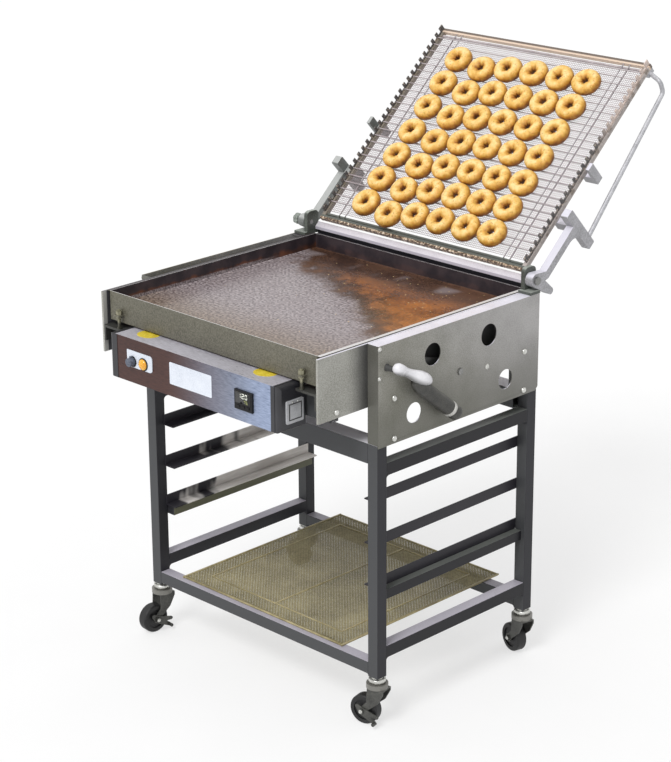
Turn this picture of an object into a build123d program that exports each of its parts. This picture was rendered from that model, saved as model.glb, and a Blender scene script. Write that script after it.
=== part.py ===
from build123d import *
import math
import os

# Donut icing station: a wheeled tube cart, a heated icing tank between side plates, a lever that lifts the
# tank, and a hinged wire rack of donuts that turns over above the icing.
# Millimetres. X runs to the right, Y to the back and Z up from the floor under the middle of the cart.

# Fits
RUN_FIT = 0.05
SLIDE_FIT = 0.3
SEAT_GAP = 0.2
CUT_CLEARANCE = 0.25
OVERCUT = 1.0

# Cart frame; the drops are measured down from the leg tops and the rises up from the leg bottoms
CART_WIDTH = 820.0
CART_DEPTH = 570.0
TUBE = 31.75
TUBE_WALL = 2.0
LEG_LENGTH = 601.0
UPPER_SIDE_RAIL_DROP = 49.75
LOWER_SIDE_RAIL_RISE = 48.0
LOWER_CROSS_RAIL_RISE = 6.0
UPPER_CROSS_TUBE = 50.8

# Ledges for spare screens, welded by their ends to the inner faces of the legs
ANGLE_LEDGE_DROP = (157.5, 270.5, 380.0)
ANGLE_LEDGE_HEIGHT = 28.0
ANGLE_LEDGE_WIDTH = 37.0
ANGLE_LEDGE_SHEET = 3.0
ANGLE_LEDGE_LAP = 5.75
LEDGE_TUBE_WIDTH = 44.5
LEDGE_TUBE_HEIGHT = 25.5
LEDGE_TUBE_WALL = 2.0
LEDGE_TUBE_INSET = 24.25

# Head: inner and outer side plates with posts between them
HEAD_HEIGHT = 245.0
OUTER_PLATE = 2.5
OUTER_PLATE_LAP = 6.0
OUTER_PLATE_TAIL = 2.0
OUTER_PLATE_CHAMFER = 10.0
INNER_PLATE = 6.0
INNER_PLATE_HEIGHT = 156.0
INNER_PLATE_NOSE = 15.0
INNER_PLATE_TAIL = 5.0
RETURN_GAP = 0.25
LEFT_TAB_LENGTH = 47.0
VENT_RADIUS_HIGH = 27.5
VENT_RADIUS_LOW = 25.0
VENT_Y_HIGH = 100.0
VENT_Y_LOW = 163.5
VENT_DROP_HIGH = 63.0
VENT_DROP_LOW = 192.0
POST_INSET = 53.0
POST_RISE = 127.0
BOLT_RISE = (7.0, 107.0)
BOLT_RADIUS = 4.0
BOLT_HEAD_RADIUS = 7.5
BOLT_HEAD = 5.0
BOLT_ROUND_SHARE = 0.8
CROSS_BOLT_EDGE = 15.4

# Icing tank between the inner plates
TANK_SIDE_CLEARANCE = 9.25
TANK_LENGTH = 715.0
TANK_REAR_INSET = 1.0
TANK_RIM_RISE = 2.0
TANK_DEPTH = 74.0
TANK_WALL = 2.0
TANK_LIP_GAP = 0.75
TANK_REAR_LIP = 4.0
ICING_DROP = 40.0
HEATER_THICKNESS = 8.0
HEATER_SIDE_INSET = 63.0
HEATER_FRONT_INSET = 76.0
HEATER_REAR_INSET = 44.0
EAR_INSET = 43.0
EAR_HALF_WIDTH = 10.0
EAR_REACH = 18.0
EAR_RISE = 19.0
EAR_THICKNESS = 4.0
STUD_RADIUS = 4.0
STUD_TIP = 3.0
NUT_FLATS = 13.0
NUT_HEIGHT = 5.0
STUD_FOOT_RADIUS = 6.0
STUD_FOOT = 4.0
REST_DEPTH = 13.0
REST_THICKNESS = 6.0
REST_REACH = 67.25
REST_LENGTH = 42.0
REST_DROP = 40.0
GUIDE_FRONT_INSET = 71.0
GUIDE_REAR_INSET = 79.0
GUIDE_LENGTH = 40.0
GUIDE_RISE = 10.0
GUIDE_HEIGHT = 46.0

# Tank lift: lever, crank, link, cross shaft and involute cams
LEVER_INSET = 29.0
LEVER_DROP = 57.0
LEVER_SHAFT_RADIUS = 9.0
LEVER_OFFSET = 27.0
LEVER_SWING = 85.0
LEVER_HUB_RADIUS = 17.0
LEVER_ARM_RADIUS = 10.0
LEVER_ELBOW = (105.0, -56.0)
LEVER_TIP = (211.0, -161.0)
FERRULE_LENGTH = 12.0
FERRULE_RADIUS = 12.5
GRIP_RADIUS = 15.5
GRIP_ROUND_SHARE = 0.3
TANK_LIFT = 33.5
LIFT_Y = -4.0
LIFT_DROP = 58.0
LIFT_SHAFT_RADIUS = 8.0
LIFT_SHAFT_END = 4.0
CRANK_RADIUS = 25.0
CRANK_START = 31.3
CRANK_THICKNESS = 8.0
CRANK_HUB_RADIUS = 14.0
CRANK_EYE_RADIUS = 9.0
CRANK_INSET = 5.0
LINK_THICKNESS = 7.0
LINK_WIDTH = 16.0
LINK_GAP = 1.0
LINK_PIN_RADIUS = 4.0
LINK_PIN_TAIL = 1.5
CAM_INSET = 33.0
CAM_THICKNESS = 12.0
CAM_START_HEIGHT = 29.0
CAM_HUB_RADIUS = 15.0
CAM_LEAD = 10.0
CAM_OVERRUN = 4.0
CAM_POINTS = 24
LIFT_RAIL_WIDTH = 16.0
LIFT_RAIL_AHEAD = 76.0
LIFT_RAIL_BEHIND = 124.0

# Control box on the front; fittings are set from its ends and its bottom edge
BOX_REST_GAP = 8.0
BOX_TUCK = 31.0
BOX_DEPTH = 90.0
BOX_TANK_GAP = 4.0
BOX_HEIGHT = 112.0
BOX_SHEET = 1.5
BOX_END = 15.0
BOX_END_ROUND = 9.0
END_COVER = (55.0, 56.0, 4.0)
END_COVER_BACK = 47.5
END_COVER_RISE = 46.0
END_COVER_EDGE_SHARE = 0.25
CROSS_MEMBER_DEPTH = 25.4
CROSS_MEMBER_RISE = 22.0
CROSS_MEMBER_DROP = 17.0
CROSS_MEMBER_WALL = 2.5
SWITCH_PLATE = (92.0, 42.0, 2.0)
SWITCH_PLATE_INSET = 95.5
SWITCH_PLATE_RISE = 62.0
SWITCH_PLATE_ROUND = 9.0
KNOB_OFFSET = (-25.5, -6.0)
KNOB_RADIUS = 11.0
KNOB_LENGTH = 15.0
KNOB_ROUND_SHARE = 0.2
KNOB_POINTER = (5.5, 7.5, 14.3)
KNOB_SHAFT_RADIUS = 3.0
KNOB_SHAFT_LENGTH = 12.0
LAMP_OFFSET = (14.0, -5.0)
LAMP_RADIUS = 8.0
LAMP_BEZEL_RADIUS = 11.5
LAMP_BEZEL = 3.0
LAMP_DOME = 3.5
LAMP_ROUND_SHARE = 0.95
BLANK_PLATE = (148.0, 55.0, 1.2)
BLANK_PLATE_X = -4.0
BLANK_PLATE_RISE = 59.0
BLANK_PLATE_ROUND = 2.75
CONTROLLER = (60.0, 48.0, 6.0)
CONTROLLER_INSET = 99.0
CONTROLLER_RISE = 54.0
CONTROLLER_ROUND_SHARE = 0.2
CONTROLLER_NECK = (50.0, 40.0, 55.0)
KEY = (10.0, 6.0, 3.5)
KEY_X = (-16.0, 0.0, 16.0)
KEY_DROP = 15.0
KEY_PROUD = 1.5
KEY_ROUND_SHARE = 0.2
CHASSIS = (240.0, 50.0, 62.0)
CHASSIS_INSET = 192.0
GLAND_INSET = 47.0
GLAND_BACK = 50.0
GLAND_RADIUS = 11.0
GLAND_HEX = 12.0
GLAND_LENGTH = 16.0
GLAND_BORE = 4.0

# Rack of donuts, in rack coordinates: X, along the rack from its bottom edge, and out of its face
RACK_OFFSET = (33.4, 23.2)
RACK_TILT = 42.44
RACK_TANK_ROOM = 83.0
RACK_TANK_GAP = 6.0
RACK_RAIL = 12.0
RACK_FOOT = 22.0
COMB_THICKNESS = 3.0
COMB_TOP = 22.0
COMB_TEETH = 29
COMB_GAP = 12.0
COMB_NOTCH = 12.0
COMB_SETBACK = 3.0
WIRE_RADIUS = 1.5
WIRE_COUNT = 28
ROD_INSETS = (46.0, 67.0)
BEARER_RADIUS = 3.5
BEARER_INSETS = (19.0, 22.0)
DONUT_RING = 23.4
DONUT_TUBE = 16.0
DONUT_COLUMNS = (-217.0, -124.0, -40.0, 46.0, 133.0, 219.0)
DONUT_ROWS = (45.0, 124.0, 203.0, 284.0, 366.0, 448.0, 529.0)
DONUT_DROP = (0.0, -17.0, -3.0, 0.0, -1.0, 2.0)

# Rack pivot and arms
PIVOT_INSET = 7.0
PIVOT_RISE = 32.0
PIVOT_PIN_RADIUS = 6.0
PIVOT_HEAD_RADIUS = 10.0
PIVOT_HEAD = 6.0
LUG_PLATE = 12.0
LUG_AHEAD = 16.0
LUG_ABOVE = 30.0
LUG_ROUND_SHARE = 0.3
FOOT_AHEAD = 26.0
FOOT_BEHIND = 10.5
FOOT_THICKNESS = 7.0
ARM_LUG_GAP = 1.55
ARM_THICKNESS = 22.0
ARM_HUB_RADIUS = 17.0
ARM_DEPTH = 20.0
ARM_H = -18.0
ARM_GUSSET = 36.0
NOSE_OFFSET = (56.0, -38.0)
NOSE_RADIUS = 9.0
BLOCK_S = (134.0, 160.0)
BLOCK_H = (-105.0, 30.0)
BLOCK_ROUND_SHARE = 0.15
BRIDGE_H = (-36.0, -8.0)
CLIP_S = (280.0, 302.0)
CLIP_H = (-33.0, -8.0)
CLIP_REACH = 28.0
CLIP_THICKNESS = 10.0
CLIP_TOP = 26.0
BAIL_RADIUS = 6.0
BAIL_START_INSET = 14.0
BAIL_START_H = -14.0
BAIL_KNEE = (18.0, -18.0)
BAIL_BEND = (28.0, -49.0)
BAIL_END_H = -94.0
BAIL_SET_IN = 15.0
BAIL_ROUND = 14.0
TIE_BAR_GAP = 4.0
TIE_BAR_DEPTH = 12.0
TIE_BAR_HEIGHT = 19.0
TIE_BAR_DROP = 3.0
TIE_BAR_SLOPE = 11.0
TIE_FLANGE = 2.5
TIE_FLANGE_DEPTH = 28.0
LOCK_KNOB_RADIUS = 15.0
LOCK_KNOB_LENGTH = 16.0
LOCK_KNOB_ROUND_SHARE = 0.2
LOCK_STUD_RADIUS = 5.0
FLUTES = 6
FLUTE_RADIUS = 6.0
FLUTE_BITE = 3.0

# Casters
WHEEL_RADIUS = 38.0
WHEEL_WIDTH = 28.0
WHEEL_DISH_RADIUS = 25.84
WHEEL_DISH = 3.5
TYRE_ROUND_SHARE = 0.35
HUB_RADIUS = 8.8
AXLE_RADIUS = 4.0
CASTER_TRAIL = 32.0
CASTER_ANGLES = {"front_left": 265.0, "front_right": 192.0, "rear_left": 180.0, "rear_right": 165.0}
SOCKET_RADIUS = 15.0
SOCKET_LENGTH = 16.0
STEM_RADIUS = 6.0
SWIVEL_GAP = 0.3
FORK_HEADROOM = 24.7
FORK_DISC_RADIUS = 27.0
FORK_DISC = 12.0
FORK_SHEET = 3.0
FORK_CLEARANCE = 2.0
FORK_EYE_RADIUS = 11.0
FORK_BACK_INSET = 14.0
FORK_SKIRT = 10.0
FORK_WAIST = (12.0, 28.0)
FORK_THROAT = (12.0, 26.0)
BRAKED = ("front_left", "front_right")
BRAKE_SHEET = 3.0
BRAKE_HUB_RADIUS = 10.0
BRAKE_HEEL = (12.0, 11.0)
BRAKE_HEEL_RADIUS = 5.5
BRAKE_PRONGS = ((-43.0, -7.0), (-38.0, -24.0))
BRAKE_PRONG_RADIUS = 4.5
BRAKE_PRONG_LENGTH = 9.0
AXLE_HEAD_RADIUS = 7.0
AXLE_HEAD = 4.0

# Spare wire screen on the bottom rails
SCREEN = 584.0
SCREEN_X = -16.0
SCREEN_FRONT_INSET = 15.0
SCREEN_RIM = 6.0
SCREEN_HOLES = 16
SCREEN_WIRE = 2.0
SCREEN_SHEET = 1.6
SCREEN_INSET = 52.0
SCREEN_BAR = 5.0

# Caster and leg heights
FORK_LOW = 2 * WHEEL_RADIUS + FORK_HEADROOM + FORK_SHEET
FORK_TOP = FORK_LOW + FORK_DISC
SOCKET_Z = FORK_TOP + SWIVEL_GAP
LEG_BOTTOM = SOCKET_Z + SOCKET_LENGTH
LEG_TOP = LEG_BOTTOM + LEG_LENGTH
UPPER_SIDE_RAIL_Z = LEG_TOP - UPPER_SIDE_RAIL_DROP - TUBE
LOWER_SIDE_RAIL_Z = LEG_BOTTOM + LOWER_SIDE_RAIL_RISE
LOWER_CROSS_RAIL_Z = LEG_BOTTOM + LOWER_CROSS_RAIL_RISE
LEDGE_TUBE_TOP = LEG_TOP - ANGLE_LEDGE_DROP[-1]

# Widths, from the outer faces of the legs inwards
X_OUT = CART_WIDTH / 2
X_IN = X_OUT - TUBE
SKIN = X_OUT + OUTER_PLATE
WALL_IN = X_IN - INNER_PLATE
LEG_X = X_OUT - TUBE / 2
TANK_HALF_WIDTH = WALL_IN - TANK_SIDE_CLEARANCE
TANK_IN = TANK_HALF_WIDTH - TANK_WALL
TANK_SIDE_LIP = TANK_SIDE_CLEARANCE - TANK_LIP_GAP
HEATER_HALF_WIDTH = TANK_HALF_WIDTH - HEATER_SIDE_INSET
EAR_X = TANK_HALF_WIDTH - EAR_INSET
CAM_X = TANK_HALF_WIDTH - CAM_INSET
REST_INNER_X = WALL_IN - REST_REACH
BOX_HALF_WIDTH = REST_INNER_X - BOX_REST_GAP - BOX_END
RACK_HALF_WIDTH = TANK_IN - RACK_TANK_GAP
RAIL_IN = RACK_HALF_WIDTH - RACK_RAIL
COMB_OUT = RACK_HALF_WIDTH - COMB_SETBACK
COMB_IN = COMB_OUT - COMB_THICKNESS
LUG_SPAN = (WALL_IN + SEAT_GAP, WALL_IN + SEAT_GAP + LUG_PLATE)
ARM_INNER_X = LUG_SPAN[1] + ARM_LUG_GAP
CRANK_X = X_OUT - CRANK_INSET - CRANK_THICKNESS
LINK_X = CRANK_X - LINK_GAP - LINK_THICKNESS

# Depths, from the outer faces of the legs
Y_OUT = CART_DEPTH / 2
Y_IN = Y_OUT - TUBE
LEG_Y = Y_OUT - TUBE / 2
POST_Y = Y_OUT - POST_INSET
OUTER_PLATE_REAR = Y_OUT + OUTER_PLATE_TAIL
TANK_REAR = Y_OUT - TANK_REAR_INSET
TANK_FRONT = TANK_REAR - TANK_LENGTH
INNER_PLATE_FRONT = TANK_FRONT - INNER_PLATE_NOSE
INNER_PLATE_REAR = Y_OUT + INNER_PLATE_TAIL
HEATER_FRONT = TANK_FRONT + HEATER_FRONT_INSET
HEATER_REAR = TANK_REAR - HEATER_REAR_INSET
GUIDE_Y = (TANK_FRONT + GUIDE_FRONT_INSET, TANK_REAR - GUIDE_REAR_INSET)
BOX_REAR = TANK_FRONT + BOX_TUCK
BOX_FRONT = BOX_REAR - BOX_DEPTH
LEVER_Y = LEVER_INSET - Y_OUT
PIVOT_Y = Y_OUT - PIVOT_INSET
TIE_BAR_Y = TANK_REAR + TANK_REAR_LIP + TIE_BAR_GAP
LUG_FRONT = PIVOT_Y - LUG_AHEAD
LUG_BACK = TIE_BAR_Y + TIE_BAR_DEPTH
RACK_LENGTH = TANK_LENGTH - RACK_TANK_ROOM
SCREEN_Y = SCREEN_FRONT_INSET - Y_OUT + SCREEN / 2

# Heights of the head, the tank and the rack
HEAD_TOP = LEG_TOP + HEAD_HEIGHT
OUTER_PLATE_BOTTOM = LEG_TOP - OUTER_PLATE_LAP
INNER_PLATE_BOTTOM = HEAD_TOP - INNER_PLATE_HEIGHT
POST_FOOT_Y = Y_OUT - OUTER_PLATE - RETURN_GAP
POST_TOP = LEG_TOP + POST_RISE
VENT_Z_HIGH = HEAD_TOP - VENT_DROP_HIGH
VENT_Z_LOW = HEAD_TOP - VENT_DROP_LOW
TANK_RIM = HEAD_TOP + TANK_RIM_RISE
TANK_BOTTOM = TANK_RIM - TANK_DEPTH
TANK_FLOOR = TANK_BOTTOM + TANK_WALL
ICING_LEVEL = TANK_RIM - ICING_DROP
EAR_Z = TANK_BOTTOM + EAR_RISE
STUD_TOP = EAR_Z + EAR_THICKNESS + 2 * NUT_HEIGHT + STUD_TIP
REST_Z = TANK_BOTTOM - REST_DEPTH
GUIDE_Z = TANK_BOTTOM + GUIDE_RISE
LEVER_Z = HEAD_TOP - LEVER_DROP
LIFT_Z = TANK_BOTTOM - LIFT_DROP
LIFT_RAIL_BOTTOM = LIFT_Z + CAM_START_HEIGHT + SLIDE_FIT
CAM_BASE = TANK_LIFT / math.radians(LEVER_SWING)
BOX_TOP = TANK_BOTTOM - BOX_TANK_GAP
BOX_BOTTOM = BOX_TOP - BOX_HEIGHT
CROSS_MEMBER_Z = (BOX_BOTTOM + CROSS_MEMBER_RISE, BOX_TOP - CROSS_MEMBER_DROP)
PIVOT_Z = HEAD_TOP + PIVOT_RISE
LUG_TOP = PIVOT_Z + LUG_ABOVE
TIE_BAR_TOP = PIVOT_Z - TIE_BAR_DROP

# Places of the panel fittings
SWITCH_PLATE_X = SWITCH_PLATE_INSET - BOX_HALF_WIDTH
SWITCH_PLATE_Z = BOX_BOTTOM + SWITCH_PLATE_RISE
KNOB_X = SWITCH_PLATE_X + KNOB_OFFSET[0]
KNOB_Z = SWITCH_PLATE_Z + KNOB_OFFSET[1]
LAMP_X = SWITCH_PLATE_X + LAMP_OFFSET[0]
LAMP_Z = SWITCH_PLATE_Z + LAMP_OFFSET[1]
BLANK_PLATE_Z = BOX_BOTTOM + BLANK_PLATE_RISE
CONTROLLER_X = BOX_HALF_WIDTH - CONTROLLER_INSET
CONTROLLER_Z = BOX_BOTTOM + CONTROLLER_RISE
CHASSIS_X = CHASSIS_INSET - BOX_HALF_WIDTH
GLAND_X = GLAND_INSET - BOX_HALF_WIDTH
GLAND_Y = BOX_FRONT + GLAND_BACK
END_COVER_Y = BOX_FRONT + END_COVER_BACK
END_COVER_Z = BOX_BOTTOM + END_COVER_RISE

# The rack leans back from its bottom edge
RACK_Y = PIVOT_Y + RACK_OFFSET[0]
RACK_Z = PIVOT_Z + RACK_OFFSET[1]
RACK = Pos(0, RACK_Y, RACK_Z) * Rot(RACK_TILT, 0, 0)
SIDES = (-1, 1)


def block(x, y, z):
    """Box between the limits of each axis, in any order."""
    size = [abs(a[1] - a[0]) for a in (x, y, z)]
    middle = [(a[0] + a[1]) / 2 for a in (x, y, z)]
    return Pos(*middle) * Box(*size)


def rod_x(x, y, z, radius):
    """Cylinder along X between two x values."""
    return Pos((x[0] + x[1]) / 2, y, z) * Rot(0, 90, 0) * Cylinder(radius, abs(x[1] - x[0]))


def rod_y(x, y, z, radius):
    """Cylinder along Y between two y values."""
    return Pos(x, (y[0] + y[1]) / 2, z) * Rot(90, 0, 0) * Cylinder(radius, abs(y[1] - y[0]))


def rod_z(x, y, z, radius):
    """Cylinder along Z between two z values."""
    return Pos(x, y, (z[0] + z[1]) / 2) * Cylinder(radius, abs(z[1] - z[0]))


def tube_along(axis, span, centre, size, wall):
    """Hollow rectangular tube along X, Y or Z, given the middle and size of its section."""
    turn = {"X": Rot(0, 90, 0), "Y": Rot(90, 0, 0), "Z": Rot(0, 0, 0)}[axis]
    middle = (span[0] + span[1]) / 2
    place = {
        "X": (middle, centre[0], centre[1]),
        "Y": (centre[0], middle, centre[1]),
        "Z": (centre[0], centre[1], middle),
    }[axis]
    section = {"X": (size[1], size[0]), "Y": size, "Z": size}[axis]
    length = abs(span[1] - span[0])
    outer = Box(*section, length)
    inner = Box(section[0] - 2 * wall, section[1] - 2 * wall, length)
    return Pos(*place) * turn * (outer - inner)


def slab_x(outline, x):
    """Plate of constant thickness whose outline lies in the Y-Z plane."""
    low, high = min(x), max(x)
    return extrude(Plane.YZ.offset(low) * outline, amount=high - low)


def capsule(a, b, radius_a, radius_b):
    """Outline of two circles joined by their outer tangents."""
    return make_hull(
        (Pos(*a) * Circle(radius_a)).edges() + (Pos(*b) * Circle(radius_b)).edges()
    )


def flip(shape):
    """Left-hand copy of a right-hand piece."""
    return mirror(shape, about=Plane.YZ)


def write(name, *shapes):
    """Save one named piece, or a group of like pieces."""
    solids = [s for shape in shapes for s in shape.solids()]
    piece = solids[0] if len(solids) == 1 else Compound(children=solids)
    piece.label = name
    export_step(piece, f"parts/{name}.step")


os.makedirs("parts", exist_ok=True)

# Legs and rails
LEG_SPAN = (LEG_BOTTOM, LEG_TOP)
write("legs", *[
    tube_along("Z", LEG_SPAN, (i * LEG_X, j * LEG_Y), (TUBE, TUBE), TUBE_WALL)
    for i in SIDES
    for j in SIDES
])
write("side_rails", *[
    tube_along("Y", (-Y_IN, Y_IN), (i * LEG_X, z + TUBE / 2), (TUBE, TUBE), TUBE_WALL)
    for i in SIDES
    for z in (UPPER_SIDE_RAIL_Z, LOWER_SIDE_RAIL_Z)
])
write("lower_cross_rails", *[
    tube_along("X", (-X_IN, X_IN), (j * LEG_Y, LOWER_CROSS_RAIL_Z + TUBE / 2), (TUBE, TUBE), TUBE_WALL)
    for j in SIDES
])
UPPER_CROSS_MIDDLE = (Y_OUT - UPPER_CROSS_TUBE / 2, LEG_TOP - UPPER_CROSS_TUBE / 2)
write("upper_cross_rails", *[
    tube_along(
        "X",
        (-X_IN, X_IN),
        (j * UPPER_CROSS_MIDDLE[0], UPPER_CROSS_MIDDLE[1]),
        (UPPER_CROSS_TUBE, UPPER_CROSS_TUBE),
        TUBE_WALL,
    )
    for j in SIDES
])


# Ledges
def angle_ledge(side, z):
    length = (-Y_IN - ANGLE_LEDGE_LAP, Y_IN + ANGLE_LEDGE_LAP)
    web = block((side * (X_IN - ANGLE_LEDGE_SHEET), side * X_IN), length, (z, z + ANGLE_LEDGE_HEIGHT))
    foot = block((side * (X_IN - ANGLE_LEDGE_WIDTH), side * X_IN), length, (z, z + ANGLE_LEDGE_SHEET))
    return web + foot


write("ledge_angles", *[angle_ledge(i, LEG_TOP - drop) for i in SIDES for drop in ANGLE_LEDGE_DROP])
write("ledge_tubes", *[
    tube_along(
        "Y",
        (-Y_IN, Y_IN),
        (i * (X_IN - LEDGE_TUBE_INSET + LEDGE_TUBE_WIDTH / 2), LEDGE_TUBE_TOP - LEDGE_TUBE_HEIGHT / 2),
        (LEDGE_TUBE_WIDTH, LEDGE_TUBE_HEIGHT),
        LEDGE_TUBE_WALL,
    )
    for i in SIDES
])

# Side plates, posts and bolts
BOLT_PLACES = [(j * POST_Y, LEG_TOP + rise) for j in SIDES for rise in BOLT_RISE]


def outer_plate(top_flange_front):
    """Right-hand outer plate with its front return and a top flange."""
    sheet = block((X_OUT, SKIN), (-Y_OUT, OUTER_PLATE_REAR), (OUTER_PLATE_BOTTOM, HEAD_TOP))
    corner = sheet.edges().filter_by(Axis.X).sort_by(lambda e: e.center().Y - e.center().Z)[-1]
    sheet = chamfer(corner, OUTER_PLATE_CHAMFER)
    front = block(
        (X_IN + RETURN_GAP, X_OUT), (-Y_OUT, -Y_OUT + OUTER_PLATE), (LEG_TOP + RETURN_GAP, HEAD_TOP)
    )
    top = block(
        (X_IN + RETURN_GAP, X_OUT), (top_flange_front, OUTER_PLATE_REAR), (HEAD_TOP - OUTER_PLATE, HEAD_TOP)
    )
    plate = sheet + front + top
    for j in SIDES:
        plate -= rod_x((X_IN, SKIN + OVERCUT), j * VENT_Y_HIGH, VENT_Z_HIGH, VENT_RADIUS_HIGH)
        plate -= rod_x((X_IN, SKIN + OVERCUT), j * VENT_Y_LOW, VENT_Z_LOW, VENT_RADIUS_LOW)
    for y, z in BOLT_PLACES:
        plate -= rod_x((X_IN, SKIN + OVERCUT), y, z, BOLT_RADIUS)
    return plate


SHAFT_HOLE = rod_x((X_IN, SKIN + OVERCUT), LIFT_Y, LIFT_Z, LIFT_SHAFT_RADIUS + RUN_FIT)
LEVER_HOLE = rod_x((WALL_IN - OVERCUT, SKIN + OVERCUT), LEVER_Y, LEVER_Z, LEVER_SHAFT_RADIUS + RUN_FIT)
write("side_plate_right", outer_plate(-Y_OUT) - SHAFT_HOLE - LEVER_HOLE)
write("side_plate_left", flip(outer_plate(OUTER_PLATE_REAR - LEFT_TAB_LENGTH)))

inner_plate = block((WALL_IN, X_IN), (INNER_PLATE_FRONT, INNER_PLATE_REAR), (INNER_PLATE_BOTTOM, HEAD_TOP))
inner_plate -= rod_x((WALL_IN - OVERCUT, X_IN + OVERCUT), LIFT_Y, LIFT_Z, LIFT_SHAFT_RADIUS + RUN_FIT)
CROSS_BOLT_Y = BOX_REAR + CROSS_MEMBER_DEPTH / 2
CROSS_BOLT_Z = INNER_PLATE_BOTTOM + CROSS_BOLT_EDGE
inner_plate -= rod_x((WALL_IN - OVERCUT, X_IN + OVERCUT), CROSS_BOLT_Y, CROSS_BOLT_Z, BOLT_RADIUS)
write("inner_plate_right", inner_plate - LEVER_HOLE)
write("inner_plate_left", flip(inner_plate))

post = [
    block((X_IN, X_OUT), (y - TUBE / 2, y + TUBE / 2), (LEG_TOP, POST_TOP))
    + block((X_IN, X_OUT), sorted((y, foot)), (LEG_TOP, LEG_TOP + TUBE))
    for y, foot in ((-POST_Y, -POST_FOOT_Y), (POST_Y, POST_FOOT_Y))
]
for k, j in enumerate(SIDES):
    for rise in BOLT_RISE:
        post[k] -= rod_x((X_IN - OVERCUT, X_OUT + OVERCUT), j * POST_Y, LEG_TOP + rise, BOLT_RADIUS)
write("head_posts", *post, *[flip(p) for p in post])


def bolt(face_x, tip_x, y, z):
    """Round-headed bolt whose head sits on a face at +X."""
    head = rod_x((face_x, face_x + BOLT_HEAD), y, z, BOLT_HEAD_RADIUS)
    rim = head.edges().filter_by(GeomType.CIRCLE).sort_by(Axis.X)[-1]
    return fillet(rim, BOLT_HEAD * BOLT_ROUND_SHARE) + rod_x((tip_x, face_x), y, z, BOLT_RADIUS)


bolts = [bolt(SKIN, X_IN, y, z) for y, z in BOLT_PLACES]
bolts.append(bolt(X_IN, WALL_IN, CROSS_BOLT_Y, CROSS_BOLT_Z))
write("plate_bolts", *bolts, *[flip(b) for b in bolts])

# Tank and what hangs on it
shell = block((-TANK_HALF_WIDTH, TANK_HALF_WIDTH), (TANK_FRONT, TANK_REAR), (TANK_BOTTOM, TANK_RIM))
shell -= block(
    (-TANK_IN, TANK_IN), (TANK_FRONT + TANK_WALL, TANK_REAR - TANK_WALL), (TANK_FLOOR, TANK_RIM + OVERCUT)
)
LIP_Z = (TANK_RIM - TANK_WALL, TANK_RIM)
for i in SIDES:
    shell += block(
        (i * TANK_HALF_WIDTH, i * (TANK_HALF_WIDTH + TANK_SIDE_LIP)), (TANK_FRONT, TANK_REAR), LIP_Z
    )
    ear = block(
        (i * EAR_X - EAR_HALF_WIDTH, i * EAR_X + EAR_HALF_WIDTH),
        (TANK_FRONT - EAR_REACH, TANK_FRONT),
        (EAR_Z, EAR_Z + EAR_THICKNESS),
    )
    stud_y = TANK_FRONT - EAR_REACH / 2
    stud_z = (EAR_Z - OVERCUT, EAR_Z + EAR_THICKNESS + OVERCUT)
    shell += ear - rod_z(i * EAR_X, stud_y, stud_z, STUD_RADIUS)
shell += block((-TANK_IN, TANK_IN), (TANK_REAR, TANK_REAR + TANK_REAR_LIP), LIP_Z)
write("tank", shell)
write("icing", block(
    (-TANK_IN, TANK_IN), (TANK_FRONT + TANK_WALL, TANK_REAR - TANK_WALL), (TANK_FLOOR, ICING_LEVEL)
))
write("heater", block(
    (-HEATER_HALF_WIDTH, HEATER_HALF_WIDTH),
    (HEATER_FRONT, HEATER_REAR),
    (TANK_BOTTOM - HEATER_THICKNESS, TANK_BOTTOM),
))
write("lift_rails", *[
    block(
        (i * CAM_X - LIFT_RAIL_WIDTH / 2, i * CAM_X + LIFT_RAIL_WIDTH / 2),
        (LIFT_Y - LIFT_RAIL_AHEAD, LIFT_Y + LIFT_RAIL_BEHIND),
        (LIFT_RAIL_BOTTOM, TANK_BOTTOM),
    )
    for i in SIDES
])


def levelling_screw(x):
    """Stud through a tank ear with a nut under it, two nuts on it and a foot on the rest."""
    y = TANK_FRONT - EAR_REACH / 2
    foot_top = REST_Z + SEAT_GAP + STUD_FOOT
    screw = rod_z(x, y, (REST_Z + SEAT_GAP, STUD_TOP), STUD_RADIUS)
    screw += rod_z(x, y, (REST_Z + SEAT_GAP, foot_top), STUD_FOOT_RADIUS)
    ear_top = EAR_Z + EAR_THICKNESS
    for z in (EAR_Z - NUT_HEIGHT, ear_top, ear_top + NUT_HEIGHT):
        nut = extrude(RegularPolygon(NUT_FLATS / 2, 6, major_radius=False), amount=NUT_HEIGHT)
        screw += Pos(x, y, z) * nut
    return screw


write("levelling_screws", *[levelling_screw(i * EAR_X) for i in SIDES])


# Rests and guides on the inner plates
def rest(side, y, top):
    shelf = block((side * REST_INNER_X, side * WALL_IN), y, (top - REST_THICKNESS, top))
    leg = block((side * (WALL_IN - REST_THICKNESS), side * WALL_IN), y, (top - REST_DROP, top))
    return shelf + leg


FRONT_REST_Y = (INNER_PLATE_FRONT, INNER_PLATE_FRONT + REST_LENGTH)
REAR_REST_Y = (TANK_REAR - REST_LENGTH, TANK_REAR)
write(
    "rest_brackets",
    *[rest(i, FRONT_REST_Y, REST_Z) for i in SIDES],
    *[rest(i, REAR_REST_Y, TANK_BOTTOM - SEAT_GAP) for i in SIDES],
)
write("tank_guides", *[
    block(
        (i * (TANK_HALF_WIDTH + SLIDE_FIT), i * WALL_IN),
        (y, y + GUIDE_LENGTH),
        (GUIDE_Z, GUIDE_Z + GUIDE_HEIGHT),
    )
    for i in SIDES
    for y in GUIDE_Y
])


# Tank lift
def polar(radius, degrees):
    return (radius * math.cos(math.radians(degrees)), radius * math.sin(math.radians(degrees)))


CRANK_PIN = polar(CRANK_RADIUS, CRANK_START)


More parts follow.
